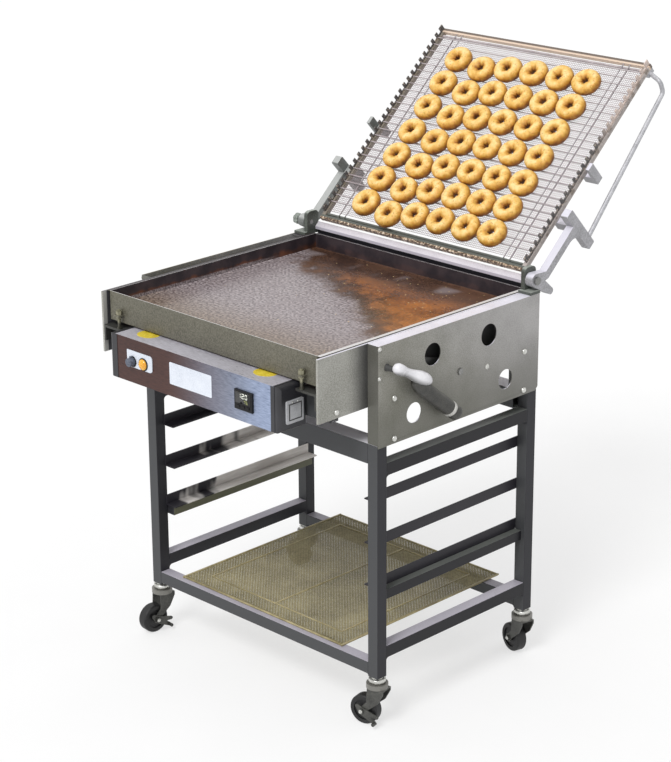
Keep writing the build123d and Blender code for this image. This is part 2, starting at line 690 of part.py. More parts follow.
def crank(y, z):
    """Crank web beside the outer plate with a pin that carries the link."""
    pin = (y + CRANK_PIN[0], z + CRANK_PIN[1])
    web = slab_x(capsule((y, z), pin, CRANK_HUB_RADIUS, CRANK_EYE_RADIUS), (CRANK_X, CRANK_X + CRANK_THICKNESS))
    return web + rod_x((LINK_X - LINK_PIN_TAIL, CRANK_X), *pin, LINK_PIN_RADIUS)


LEVER_X = SKIN + LEVER_OFFSET
elbow = (LEVER_Y + LEVER_ELBOW[0], LEVER_Z + LEVER_ELBOW[1])
tip = (LEVER_Y + LEVER_TIP[0], LEVER_Z + LEVER_TIP[1])
grip_length = math.dist(elbow, tip)
along = ((tip[0] - elbow[0]) / grip_length, (tip[1] - elbow[1]) / grip_length)
grip_start = (elbow[0] + along[0] * FERRULE_LENGTH, elbow[1] + along[1] * FERRULE_LENGTH)


def rod_between(a, b, radius):
    """Cylinder at the lever's distance from the plate, between two Y-Z points."""
    start = Vector(LEVER_X, *a)
    axis = Vector(LEVER_X, *b) - start
    return Plane(origin=start, z_dir=axis) * Cylinder(
        radius, axis.length, align=(Align.CENTER, Align.CENTER, Align.MIN)
    )


lever = rod_x((WALL_IN, LEVER_X), LEVER_Y, LEVER_Z, LEVER_SHAFT_RADIUS)
lever += rod_x((SKIN + SLIDE_FIT, LEVER_X), LEVER_Y, LEVER_Z, LEVER_HUB_RADIUS)
lever += Pos(LEVER_X, LEVER_Y, LEVER_Z) * Sphere(LEVER_HUB_RADIUS)
lever += crank(LEVER_Y, LEVER_Z)
lever += rod_between((LEVER_Y, LEVER_Z), elbow, LEVER_ARM_RADIUS)
lever += Pos(LEVER_X, *elbow) * Sphere(LEVER_ARM_RADIUS)
lever += rod_between(elbow, grip_start, FERRULE_RADIUS)
write("lever", lever)
grip = rod_between(grip_start, tip, GRIP_RADIUS)
grip = fillet(grip.edges().filter_by(GeomType.CIRCLE), GRIP_RADIUS * GRIP_ROUND_SHARE)
write("lever_grip", grip)

pin_a = (LEVER_Y + CRANK_PIN[0], LEVER_Z + CRANK_PIN[1])
pin_b = (LIFT_Y + CRANK_PIN[0], LIFT_Z + CRANK_PIN[1])
LINK_SPAN = (LINK_X, LINK_X + LINK_THICKNESS)
link = slab_x(capsule(pin_a, pin_b, LINK_WIDTH / 2, LINK_WIDTH / 2), LINK_SPAN)
for pin in (pin_a, pin_b):
    link -= rod_x((LINK_X - OVERCUT, CRANK_X), *pin, LINK_PIN_RADIUS + RUN_FIT)
write("link", link)


def cam(x):
    """Involute cam: it raises a flat rail in step with its turn."""
    roll = CAM_START_HEIGHT / CAM_BASE
    points = []
    sweep_angle = CAM_LEAD + LEVER_SWING + CAM_OVERRUN
    for k in range(CAM_POINTS + 1):
        a = math.radians(CAM_LEAD - sweep_angle * k / CAM_POINTS)
        run = CAM_BASE * (roll - a)
        points.append((
            CAM_BASE * math.cos(a) - run * math.sin(a),
            CAM_BASE * math.sin(a) + run * math.cos(a),
        ))
    profile = make_face(Spline(*points) + Polyline(points[-1], (0, 0), points[0]))
    half = CAM_THICKNESS / 2
    lobe = slab_x(Pos(LIFT_Y, LIFT_Z) * profile, (x - half, x + half))
    boss = rod_x((x - half, x + half), LIFT_Y, LIFT_Z, CAM_HUB_RADIUS)
    return lobe + boss - rod_x((x - half, x + half), LIFT_Y, LIFT_Z, LIFT_SHAFT_RADIUS)


shaft = rod_x((-X_IN - LIFT_SHAFT_END, SKIN + LIFT_SHAFT_END), LIFT_Y, LIFT_Z, LIFT_SHAFT_RADIUS)
shaft += crank(LIFT_Y, LIFT_Z)
write("lift_shaft", shaft, *[cam(i * CAM_X) for i in SIDES])

# Control box
box = block((-BOX_HALF_WIDTH, BOX_HALF_WIDTH), (BOX_FRONT, BOX_REAR), (BOX_BOTTOM, BOX_TOP))
box -= block(
    (-BOX_HALF_WIDTH, BOX_HALF_WIDTH),
    (BOX_FRONT + BOX_SHEET, BOX_REAR - BOX_SHEET),
    (BOX_BOTTOM + BOX_SHEET, BOX_TOP - BOX_SHEET),
)
PANEL = (BOX_FRONT - OVERCUT, BOX_FRONT + BOX_SHEET + OVERCUT)
box -= rod_y(KNOB_X, PANEL, KNOB_Z, KNOB_SHAFT_RADIUS + RUN_FIT)
NECK_X = (CONTROLLER_X - CONTROLLER_NECK[0] / 2, CONTROLLER_X + CONTROLLER_NECK[0] / 2)
NECK_Z = (CONTROLLER_Z - CONTROLLER_NECK[1] / 2, CONTROLLER_Z + CONTROLLER_NECK[1] / 2)
box -= block(
    (NECK_X[0] - CUT_CLEARANCE, NECK_X[1] + CUT_CLEARANCE),
    PANEL,
    (NECK_Z[0] - CUT_CLEARANCE, NECK_Z[1] + CUT_CLEARANCE),
)
write("control_box", box)

end_cap = block((BOX_HALF_WIDTH, BOX_HALF_WIDTH + BOX_END), (BOX_FRONT, BOX_REAR), (BOX_BOTTOM, BOX_TOP))
end_cap = fillet(end_cap.faces().sort_by(Axis.X)[-1].edges(), BOX_END_ROUND)
write("box_ends", end_cap, flip(end_cap))
COVER_X = BOX_HALF_WIDTH + BOX_END
cover = block(
    (COVER_X, COVER_X + END_COVER[2]),
    (END_COVER_Y - END_COVER[0] / 2, END_COVER_Y + END_COVER[0] / 2),
    (END_COVER_Z - END_COVER[1] / 2, END_COVER_Z + END_COVER[1] / 2),
)
cover = fillet(cover.edges().filter_by(Axis.X), END_COVER[2])
write("end_cover", chamfer(cover.faces().sort_by(Axis.X)[-1].edges(), END_COVER[2] * END_COVER_EDGE_SHARE))
write("cross_member", tube_along(
    "X",
    (-WALL_IN, WALL_IN),
    (BOX_REAR + CROSS_MEMBER_DEPTH / 2, (CROSS_MEMBER_Z[0] + CROSS_MEMBER_Z[1]) / 2),
    (CROSS_MEMBER_DEPTH, CROSS_MEMBER_Z[1] - CROSS_MEMBER_Z[0]),
    CROSS_MEMBER_WALL,
))
write("control_chassis", block(
    (CHASSIS_X - CHASSIS[0] / 2, CHASSIS_X + CHASSIS[0] / 2),
    (BOX_REAR - BOX_SHEET - CHASSIS[1], BOX_REAR - BOX_SHEET),
    (BOX_BOTTOM + BOX_SHEET, BOX_BOTTOM + BOX_SHEET + CHASSIS[2]),
))
gland = rod_z(GLAND_X, GLAND_Y, (BOX_BOTTOM - GLAND_LENGTH, BOX_BOTTOM), GLAND_RADIUS)
gland += Pos(GLAND_X, GLAND_Y, BOX_BOTTOM - GLAND_LENGTH / 2) * extrude(
    RegularPolygon(GLAND_HEX, 6, major_radius=False), amount=GLAND_LENGTH / 2
)
gland -= rod_z(GLAND_X, GLAND_Y, (BOX_BOTTOM - GLAND_LENGTH - OVERCUT, BOX_BOTTOM), GLAND_BORE)
write("cord_gland", gland)

# Panel fittings
plate_face = BOX_FRONT - SWITCH_PLATE[2]
switch_plate = block(
    (SWITCH_PLATE_X - SWITCH_PLATE[0] / 2, SWITCH_PLATE_X + SWITCH_PLATE[0] / 2),
    (plate_face, BOX_FRONT),
    (SWITCH_PLATE_Z - SWITCH_PLATE[1] / 2, SWITCH_PLATE_Z + SWITCH_PLATE[1] / 2),
)
switch_plate = fillet(switch_plate.edges().filter_by(Axis.Y).sort_by(Axis.X)[2:], SWITCH_PLATE_ROUND)
switch_plate += rod_y(LAMP_X, (plate_face - LAMP_BEZEL, plate_face), LAMP_Z, LAMP_BEZEL_RADIUS)
switch_plate -= rod_y(LAMP_X, (plate_face - LAMP_BEZEL - OVERCUT, plate_face), LAMP_Z, LAMP_RADIUS)
switch_plate -= rod_y(KNOB_X, (plate_face - OVERCUT, BOX_FRONT + OVERCUT), KNOB_Z, KNOB_SHAFT_RADIUS + RUN_FIT)
write("switch_plate", switch_plate)
lamp = rod_y(LAMP_X, (plate_face - LAMP_BEZEL - LAMP_DOME, plate_face), LAMP_Z, LAMP_RADIUS)
lamp = fillet(lamp.edges().filter_by(GeomType.CIRCLE).sort_by(Axis.Y)[0], LAMP_DOME * LAMP_ROUND_SHARE)
write("lamp_lens", lamp)
knob_face = plate_face - SLIDE_FIT
knob = rod_y(KNOB_X, (knob_face - KNOB_LENGTH, knob_face), KNOB_Z, KNOB_RADIUS)
knob = fillet(knob.edges().filter_by(GeomType.CIRCLE).sort_by(Axis.Y)[0], KNOB_RADIUS * KNOB_ROUND_SHARE)
knob += block(
    (KNOB_X - KNOB_POINTER[0] / 2, KNOB_X + KNOB_POINTER[0] / 2),
    (knob_face - KNOB_POINTER[1], knob_face),
    (KNOB_Z, KNOB_Z + KNOB_POINTER[2]),
)
knob += rod_y(KNOB_X, (knob_face, knob_face + KNOB_SHAFT_LENGTH), KNOB_Z, KNOB_SHAFT_RADIUS)
write("switch_knob", knob)
blank = block(
    (BLANK_PLATE_X - BLANK_PLATE[0] / 2, BLANK_PLATE_X + BLANK_PLATE[0] / 2),
    (BOX_FRONT - BLANK_PLATE[2], BOX_FRONT),
    (BLANK_PLATE_Z - BLANK_PLATE[1] / 2, BLANK_PLATE_Z + BLANK_PLATE[1] / 2),
)
write("blank_plate", fillet(blank.edges().filter_by(Axis.Y), BLANK_PLATE_ROUND))

bezel_face = BOX_FRONT - CONTROLLER[2]
controller = block(
    (CONTROLLER_X - CONTROLLER[0] / 2, CONTROLLER_X + CONTROLLER[0] / 2),
    (bezel_face, BOX_FRONT),
    (CONTROLLER_Z - CONTROLLER[1] / 2, CONTROLLER_Z + CONTROLLER[1] / 2),
)
controller = fillet(controller.faces().sort_by(Axis.Y)[0].edges(), CONTROLLER[2] * CONTROLLER_ROUND_SHARE)
controller += block(NECK_X, (BOX_FRONT, BOX_FRONT + CONTROLLER_NECK[2]), NECK_Z)
KEY_Z = CONTROLLER_Z - KEY_DROP
KEY_BACK = bezel_face - KEY_PROUD + KEY[2]
for name, dx in zip(("key_down", "key_up", "key_set"), KEY_X):
    x = CONTROLLER_X + dx
    key = block(
        (x - KEY[0] / 2, x + KEY[0] / 2),
        (bezel_face - KEY_PROUD, KEY_BACK),
        (KEY_Z - KEY[1] / 2, KEY_Z + KEY[1] / 2),
    )
    write(name, fillet(key.edges().filter_by(Axis.Y), KEY[1] * KEY_ROUND_SHARE))
    controller -= block(
        (x - KEY[0] / 2 - SLIDE_FIT, x + KEY[0] / 2 + SLIDE_FIT),
        (bezel_face - OVERCUT, KEY_BACK + KEY_PROUD),
        (KEY_Z - KEY[1] / 2 - SLIDE_FIT, KEY_Z + KEY[1] / 2 + SLIDE_FIT),
    )
write("controller", controller)

# Rack rails, combs, wires and donuts
rack_length = (-RACK_FOOT, RACK_LENGTH)
rail_h = (-RACK_RAIL / 2, RACK_RAIL / 2)
side_bars = [block((i * RAIL_IN, i * RACK_HALF_WIDTH), rack_length, rail_h) for i in SIDES]
low_bar = (-RACK_FOOT, RACK_RAIL - RACK_FOOT)
high_bar = (RACK_LENGTH - RACK_RAIL, RACK_LENGTH)
end_bars = [block((-RAIL_IN, RAIL_IN), s, rail_h) for s in (low_bar, high_bar)]
write("rack_rails", *[RACK * bar for bar in side_bars + end_bars])

comb_pitch = RACK_LENGTH / COMB_TEETH
comb_low = RACK_RAIL / 2
outline = Pos(RACK_LENGTH / 2, (comb_low + COMB_TOP) / 2) * Rectangle(RACK_LENGTH, COMB_TOP - comb_low)
for k in range(1, COMB_TEETH):
    outline -= Pos(k * comb_pitch, COMB_TOP) * Rectangle(COMB_GAP, 2 * COMB_NOTCH)
comb = slab_x(outline, (COMB_IN, COMB_OUT))
write("combs", RACK * comb, RACK * flip(comb))

wire_h = rail_h[1] + WIRE_RADIUS
rod_h = wire_h - 2 * WIRE_RADIUS
cross_wires = [
    rod_x((-COMB_IN, COMB_IN), RACK_LENGTH * (k + 0.5) / WIRE_COUNT, wire_h, WIRE_RADIUS)
    for k in range(1, WIRE_COUNT - 1)
]
long_rods = [
    rod_y(i * (RAIL_IN - inset), (low_bar[1], high_bar[0]), rod_h, WIRE_RADIUS)
    for i in SIDES
    for inset in ROD_INSETS
]
bearer_h = rod_h - WIRE_RADIUS - BEARER_RADIUS
bearers = [
    rod_x((-RAIL_IN, RAIL_IN), s, bearer_h, BEARER_RADIUS)
    for s in (BEARER_INSETS[0] - RACK_FOOT, RACK_LENGTH - BEARER_INSETS[1])
]
write("wire_grid", *[RACK * wire for wire in cross_wires + long_rods + bearers])

donut_h = wire_h + WIRE_RADIUS + SEAT_GAP + DONUT_TUBE
ring = Torus(DONUT_RING, DONUT_TUBE)
write("donuts", *[
    RACK * Pos(x, s + drop, donut_h) * ring for x, drop in zip(DONUT_COLUMNS, DONUT_DROP) for s in DONUT_ROWS
])

# Rack arms, side blocks, clips and bail
ARM_SPAN = (ARM_INNER_X, ARM_INNER_X + ARM_THICKNESS)
turn = math.radians(RACK_TILT)


def to_rack(y, z):
    """Rack coordinates of a Y-Z point."""
    dy, dz = y - RACK_Y, z - RACK_Z
    return (dy * math.cos(turn) + dz * math.sin(turn), dz * math.cos(turn) - dy * math.sin(turn))


pivot = to_rack(PIVOT_Y, PIVOT_Z)
nose = to_rack(PIVOT_Y + NOSE_OFFSET[0], PIVOT_Z + NOSE_OFFSET[1])
half_arm = ARM_DEPTH / 2
shoulder = (pivot[0] + 2 * ARM_HUB_RADIUS, ARM_H)
arm = slab_x(capsule(pivot, shoulder, ARM_HUB_RADIUS, half_arm), ARM_SPAN)
arm += block(ARM_SPAN, (shoulder[0], BLOCK_S[0]), (ARM_H - half_arm, ARM_H + half_arm))
gusset_s = BLOCK_S[0] - ARM_GUSSET
gusset_h = ARM_H - half_arm - ARM_GUSSET
gusset = block(ARM_SPAN, (gusset_s, BLOCK_S[0]), (gusset_h, ARM_H - half_arm))
arm += gusset - rod_x(ARM_SPAN, gusset_s, gusset_h, ARM_GUSSET)
arm += slab_x(capsule(pivot, nose, ARM_HUB_RADIUS, NOSE_RADIUS), ARM_SPAN)
arm -= rod_x((ARM_SPAN[0] - OVERCUT, ARM_SPAN[1] + OVERCUT), *pivot, PIVOT_PIN_RADIUS + RUN_FIT)
write("rack_arms", RACK * arm, RACK * flip(arm))

side_block = block(ARM_SPAN, BLOCK_S, BLOCK_H)
side_block = fillet(side_block.edges().filter_by(Axis.X), (BLOCK_S[1] - BLOCK_S[0]) * BLOCK_ROUND_SHARE)
side_block += block((RACK_HALF_WIDTH, ARM_INNER_X), BLOCK_S, BRIDGE_H)
side_block += block((RAIL_IN, RACK_HALF_WIDTH), BLOCK_S, (BRIDGE_H[0], rail_h[0]))
clip = block((RACK_HALF_WIDTH, RACK_HALF_WIDTH + CLIP_REACH), CLIP_S, CLIP_H)
clip += block((RAIL_IN, RACK_HALF_WIDTH), CLIP_S, (CLIP_H[0], rail_h[0]))
clip_out = RACK_HALF_WIDTH + CLIP_REACH
clip += block((clip_out - CLIP_THICKNESS, clip_out), CLIP_S, (CLIP_H[1], CLIP_TOP))

bail_x = ARM_SPAN[1] - BAIL_SET_IN
bail_start = RACK_LENGTH - BAIL_START_INSET
route = [
    (RAIL_IN + BAIL_RADIUS, bail_start, BAIL_START_H),
    (bail_x, bail_start - BAIL_KNEE[0], BAIL_KNEE[1]),
    (bail_x, bail_start - BAIL_BEND[0], BAIL_BEND[1]),
    (bail_x, BLOCK_S[1], BAIL_END_H),
]
bail_line = FilletPolyline(*route, radius=BAIL_ROUND)
bail = sweep(Plane(origin=bail_line @ 0, z_dir=bail_line % 0) * Circle(BAIL_RADIUS), path=bail_line)
lug_h = (BAIL_START_H - BAIL_RADIUS, rail_h[0])
lug_s = (bail_start - 2 * BAIL_RADIUS, bail_start + 2 * BAIL_RADIUS)
bail += block((RAIL_IN, RACK_HALF_WIDTH), lug_s, lug_h)
bail -= side_block
write("rack_blocks", RACK * side_block, RACK * flip(side_block), RACK * clip, RACK * flip(clip))
write("bail_rod", RACK * bail)

# Pivot lugs, pins, tie bar and lock knob
lug_width = LUG_BACK - LUG_FRONT
outline = Pos((LUG_FRONT + LUG_BACK) / 2, (HEAD_TOP + LUG_TOP) / 2) * Rectangle(lug_width, LUG_TOP - HEAD_TOP)
outline = fillet(outline.vertices().sort_by(Axis.Y)[2:], lug_width * LUG_ROUND_SHARE)
lug = slab_x(outline, LUG_SPAN)
foot_y = (PIVOT_Y - FOOT_AHEAD, PIVOT_Y + FOOT_BEHIND)
lug += block((LUG_SPAN[0], SKIN), foot_y, (HEAD_TOP, HEAD_TOP + FOOT_THICKNESS))
lug -= rod_x((LUG_SPAN[0] - OVERCUT, LUG_SPAN[1] + OVERCUT), PIVOT_Y, PIVOT_Z, PIVOT_PIN_RADIUS)
write("pivot_lugs", lug, flip(lug))
HEAD_X = ARM_SPAN[1] + SLIDE_FIT
pin = rod_x((LUG_SPAN[0], HEAD_X), PIVOT_Y, PIVOT_Z, PIVOT_PIN_RADIUS)
pin += rod_x((HEAD_X, HEAD_X + PIVOT_HEAD), PIVOT_Y, PIVOT_Z, PIVOT_HEAD_RADIUS)
KNOB_START = HEAD_X + PIVOT_HEAD + SLIDE_FIT
stud = rod_x((HEAD_X + PIVOT_HEAD, KNOB_START + LOCK_KNOB_LENGTH), PIVOT_Y, PIVOT_Z, LOCK_STUD_RADIUS)
write("pivot_pins", pin, flip(pin + stud))
hand = rod_x((KNOB_START, KNOB_START + LOCK_KNOB_LENGTH), PIVOT_Y, PIVOT_Z, LOCK_KNOB_RADIUS)
hand = fillet(hand.edges().filter_by(GeomType.CIRCLE), LOCK_KNOB_LENGTH * LOCK_KNOB_ROUND_SHARE)
through = (KNOB_START - OVERCUT, KNOB_START + LOCK_KNOB_LENGTH + OVERCUT)
for k in range(FLUTES):
    dy, dz = polar(LOCK_KNOB_RADIUS + FLUTE_BITE, 360 * k / FLUTES)
    hand -= rod_x(through, PIVOT_Y + dy, PIVOT_Z + dz, FLUTE_RADIUS)
hand -= rod_x(through, PIVOT_Y, PIVOT_Z, LOCK_STUD_RADIUS + RUN_FIT)
write("lock_knob", flip(hand))
tie_span = (-LUG_SPAN[0], LUG_SPAN[0])
tie_bottom = TIE_BAR_TOP - TIE_BAR_HEIGHT
tie_bar = block(tie_span, (TIE_BAR_Y, LUG_BACK), (tie_bottom, TIE_BAR_TOP))
top_front = tie_bar.edges().filter_by(Axis.X).group_by(Axis.Y)[0].sort_by(Axis.Z)[-1]
tie_bar = chamfer(top_front, TIE_BAR_SLOPE)
tie_bar += block(tie_span, (LUG_BACK - TIE_FLANGE, LUG_BACK), (tie_bottom - TIE_FLANGE_DEPTH, tie_bottom))
write("rear_tie_bar", tie_bar)


# Casters, built with the trail along +X and the axle along Y, then turned and set under each leg
def caster_place(corner):
    side = 1 if corner.endswith("right") else -1
    end = 1 if corner.startswith("rear") else -1
    return Pos(side * LEG_X, end * LEG_Y, 0) * Rot(0, 0, CASTER_ANGLES[corner])


def plate_outline(points):
    return make_face(Polyline(*points, close=True))


FORK_IN = WHEEL_WIDTH / 2 + FORK_CLEARANCE
FORK_OUT = FORK_IN + FORK_SHEET
BRAKE_FACE = (FORK_OUT + SLIDE_FIT, FORK_OUT + SLIDE_FIT + BRAKE_SHEET)


def fork(braked):
    """Swivel disc, two cheeks and the fixed axle of one caster."""
    body = rod_z(0, 0, (FORK_LOW, FORK_TOP), FORK_DISC_RADIUS)
    front, back = -FORK_DISC_RADIUS, CASTER_TRAIL - FORK_BACK_INSET
    body += block((front, back), (-FORK_OUT, FORK_OUT), (FORK_LOW - FORK_SHEET, FORK_LOW))
    points = [
        (front, FORK_LOW),
        (front, FORK_LOW - FORK_SKIRT),
        (-FORK_WAIST[0], WHEEL_RADIUS + FORK_WAIST[1]),
        (CASTER_TRAIL - FORK_EYE_RADIUS, WHEEL_RADIUS),
        (CASTER_TRAIL + FORK_EYE_RADIUS, WHEEL_RADIUS),
        (CASTER_TRAIL - FORK_THROAT[0], WHEEL_RADIUS + FORK_THROAT[1]),
        (back, FORK_LOW),
    ]
    cheek = plate_outline(points) + Pos(CASTER_TRAIL, WHEEL_RADIUS) * Circle(FORK_EYE_RADIUS)
    for w in (-FORK_OUT, FORK_IN):
        body += extrude(Plane.XZ.offset(-w) * cheek, amount=-FORK_SHEET)
    body -= rod_z(0, 0, (FORK_LOW - FORK_SHEET - OVERCUT, FORK_TOP + OVERCUT), STEM_RADIUS + RUN_FIT)
    end = BRAKE_FACE[1] + SLIDE_FIT if braked else FORK_OUT
    body += rod_y(CASTER_TRAIL, (-FORK_OUT, end), WHEEL_RADIUS, AXLE_RADIUS)
    body += rod_y(CASTER_TRAIL, (end, end + AXLE_HEAD), WHEEL_RADIUS, AXLE_HEAD_RADIUS)
    body += rod_y(CASTER_TRAIL, (-FORK_OUT - AXLE_HEAD, -FORK_OUT), WHEEL_RADIUS, AXLE_HEAD_RADIUS)
    return body


def wheel():
    """Tyre with rounded shoulders on a hub that runs on the axle."""
    half = WHEEL_WIDTH / 2
    tyre = rod_y(0, (-half, half), 0, WHEEL_RADIUS)
    tyre = fillet(tyre.edges().filter_by(GeomType.CIRCLE), half * TYRE_ROUND_SHARE)
    for j in SIDES:
        tyre -= rod_y(0, (j * half, j * (half - WHEEL_DISH)), 0, WHEEL_DISH_RADIUS)
        tyre += rod_y(0, (0, j * (FORK_IN - SLIDE_FIT)), 0, HUB_RADIUS)
    return Pos(CASTER_TRAIL, 0, WHEEL_RADIUS) * (tyre - rod_y(0, (-FORK_IN, FORK_IN), 0, AXLE_RADIUS + RUN_FIT))


def brake_lever():
    """Side brake lever: a plate that turns on the axle, with two prongs for the foot."""
    prongs = [(CASTER_TRAIL + x, WHEEL_RADIUS + z) for x, z in BRAKE_PRONGS]
    axle = (CASTER_TRAIL, WHEEL_RADIUS)
    heel = (CASTER_TRAIL + BRAKE_HEEL[0], WHEEL_RADIUS + BRAKE_HEEL[1])
    outline = capsule(axle, heel, BRAKE_HUB_RADIUS, BRAKE_HEEL_RADIUS)
    for prong in prongs:
        outline += capsule(axle, prong, BRAKE_HUB_RADIUS, BRAKE_PRONG_RADIUS)
    lever = extrude(Plane.XZ.offset(-BRAKE_FACE[0]) * outline, amount=-BRAKE_SHEET)
    for x, z in prongs:
        lever += rod_y(x, (BRAKE_FACE[0], BRAKE_FACE[1] + BRAKE_PRONG_LENGTH), z, BRAKE_PRONG_RADIUS)
    return lever - rod_y(CASTER_TRAIL, (FORK_OUT, BRAKE_FACE[1] + OVERCUT), WHEEL_RADIUS, AXLE_RADIUS + RUN_FIT)


sockets = []
for corner in CASTER_ANGLES:
    place = caster_place(corner)
    collar = rod_z(0, 0, (SOCKET_Z, LEG_BOTTOM), SOCKET_RADIUS)
    stem_end = FORK_LOW - FORK_SHEET
    sockets.append(place * (collar + rod_z(0, 0, (stem_end, SOCKET_Z), STEM_RADIUS)))
    write(f"fork_{corner}", place * fork(corner in BRAKED))
    write(f"wheel_{corner}", place * wheel())
    if corner in BRAKED:
        write(f"brake_{corner}", place * brake_lever())
write("caster_sockets", *sockets)

# Spare screen: rim, frame bars and a holed sheet for the wire cloth
screen_z = LOWER_CROSS_RAIL_Z + TUBE
screen_inside = SCREEN - 2 * SCREEN_RIM
cell = screen_inside / SCREEN_HOLES
cloth = Rectangle(screen_inside, screen_inside)
hole = cell - SCREEN_WIRE
cloth -= GridLocations(cell, cell, SCREEN_HOLES, SCREEN_HOLES) * Rectangle(hole, hole)
mesh = extrude(cloth, amount=SCREEN_SHEET)
rim = extrude(Rectangle(SCREEN, SCREEN) - Rectangle(screen_inside, screen_inside), amount=SCREEN_RIM)
frame_side = SCREEN - 2 * SCREEN_INSET
frame = Rectangle(frame_side, frame_side) - Rectangle(frame_side - 2 * SCREEN_BAR, frame_side - 2 * SCREEN_BAR)
frame += Rectangle(SCREEN_BAR, frame_side)
bars = Pos(0, 0, SCREEN_SHEET) * extrude(frame, amount=SCREEN_RIM - SCREEN_SHEET)
write("shelf_screen", Pos(SCREEN_X, SCREEN_Y, screen_z) * (mesh + rim + bars))
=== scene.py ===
import bpy
import math
import random
from mathutils import Matrix, Vector, noise


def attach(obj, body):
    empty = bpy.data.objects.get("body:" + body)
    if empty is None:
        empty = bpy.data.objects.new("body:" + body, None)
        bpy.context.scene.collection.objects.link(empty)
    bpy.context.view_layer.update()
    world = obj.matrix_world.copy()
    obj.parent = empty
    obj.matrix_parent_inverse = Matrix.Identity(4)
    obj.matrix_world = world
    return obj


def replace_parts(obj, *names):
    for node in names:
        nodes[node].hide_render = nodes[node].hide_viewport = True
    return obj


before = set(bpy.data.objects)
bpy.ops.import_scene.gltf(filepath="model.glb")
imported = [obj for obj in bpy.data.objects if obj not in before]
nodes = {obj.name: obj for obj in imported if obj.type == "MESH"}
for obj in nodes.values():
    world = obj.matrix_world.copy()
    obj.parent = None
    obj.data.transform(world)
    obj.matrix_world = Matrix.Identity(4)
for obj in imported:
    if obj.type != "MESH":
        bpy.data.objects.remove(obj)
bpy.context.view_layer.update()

scene = bpy.context.scene
scene.view_settings.view_transform = "Standard"
MM = 0.001
SIDES = (-1, 1)
FULL_TURN = 2 * math.pi
RACK_TILT = math.radians(42.44)
RACK_FOOT = (0, 311.4, 1033.2)


# ---------------------------------------------------------------- materials
# Where a look changes, in metres: each pair is the start and the end of a change
MIDDLE_X = (-0.02, 0.02)
LEG_INNER_Y = (0.2520, 0.2535)
RIGHT_RAIL_X, LEFT_TUBE_X = (0.30, 0.33), (-0.345, -0.335)
FLAT_TUBE_Z = (0.32, 0.325), (0.355, 0.36)
LEDGES_Z = (0.24, 0.28), (0.70, 0.72)
LEDGE_SHINE_FROM = (-0.48, -0.42)
PLATE_LIT, PLATE_FOOT_Z, LEFT_PLATE_X = (0.5, 1.1), (0.74, 0.92), (-0.4112, -0.4104)
NOSE_DEPTH_Y, NOSE_STRIP_Y = (-0.36, -0.28), (-0.4350, -0.4330)
TANK_INNER_X, TANK_LEFT_X = (0.3617, 0.3622), (-0.3622, -0.3617)
TANK_INNER_Y = (-0.4302, -0.4297), (0.2827, 0.2832)
TANK_RIM_Z, STAIN_Z, FILM_Z, FILM_END_Y = (0.976, 0.979), (0.936, 0.947), (0.9445, 0.9485), (0.06, 0.16)
STUD_FOOT_Z = (0.906, 0.914)
BOX_WARM_X, BOX_COOL_X = (-0.10, 0.24), (0.10, 0.26)
TIE_EDGE_Z, FORK_CROWN_Z = (0.9872, 0.9882), (0.1030, 0.1045)
RAIL_LOW, RAIL_LOW_END = (-0.0165, -0.0150), (-0.0102, -0.0096)
RAIL_HIGH_END, RAIL_HIGH = (0.6192, 0.6198), (0.6245, 0.6262)
COMB_PALE, WIRE_FOOT = (0.36, 0.46), (0.0006, 0.0014)
ROD_X, ROD_EDGE = (0.276, 0.297), (0.0022, 0.0027)
ICING_TAN_Y, ICING_DEEP_Y, ICING_GLARE_Y = (-0.40, -0.16), (0.10, 0.22), ((0.19, 0.22), (0.245, 0.265))
ICING_WET, ICING_ORANGE = (-0.025, 0.04), (0.03, 0.12)


def tone(r, g, b):
    """Linear colour of a display tone given in 0 to 255."""
    def one(v):
        v /= 255
        return v / 12.92 if v <= 0.04045 else ((v + 0.055) / 1.055) ** 2.4
    return (one(r), one(g), one(b), 1.0)


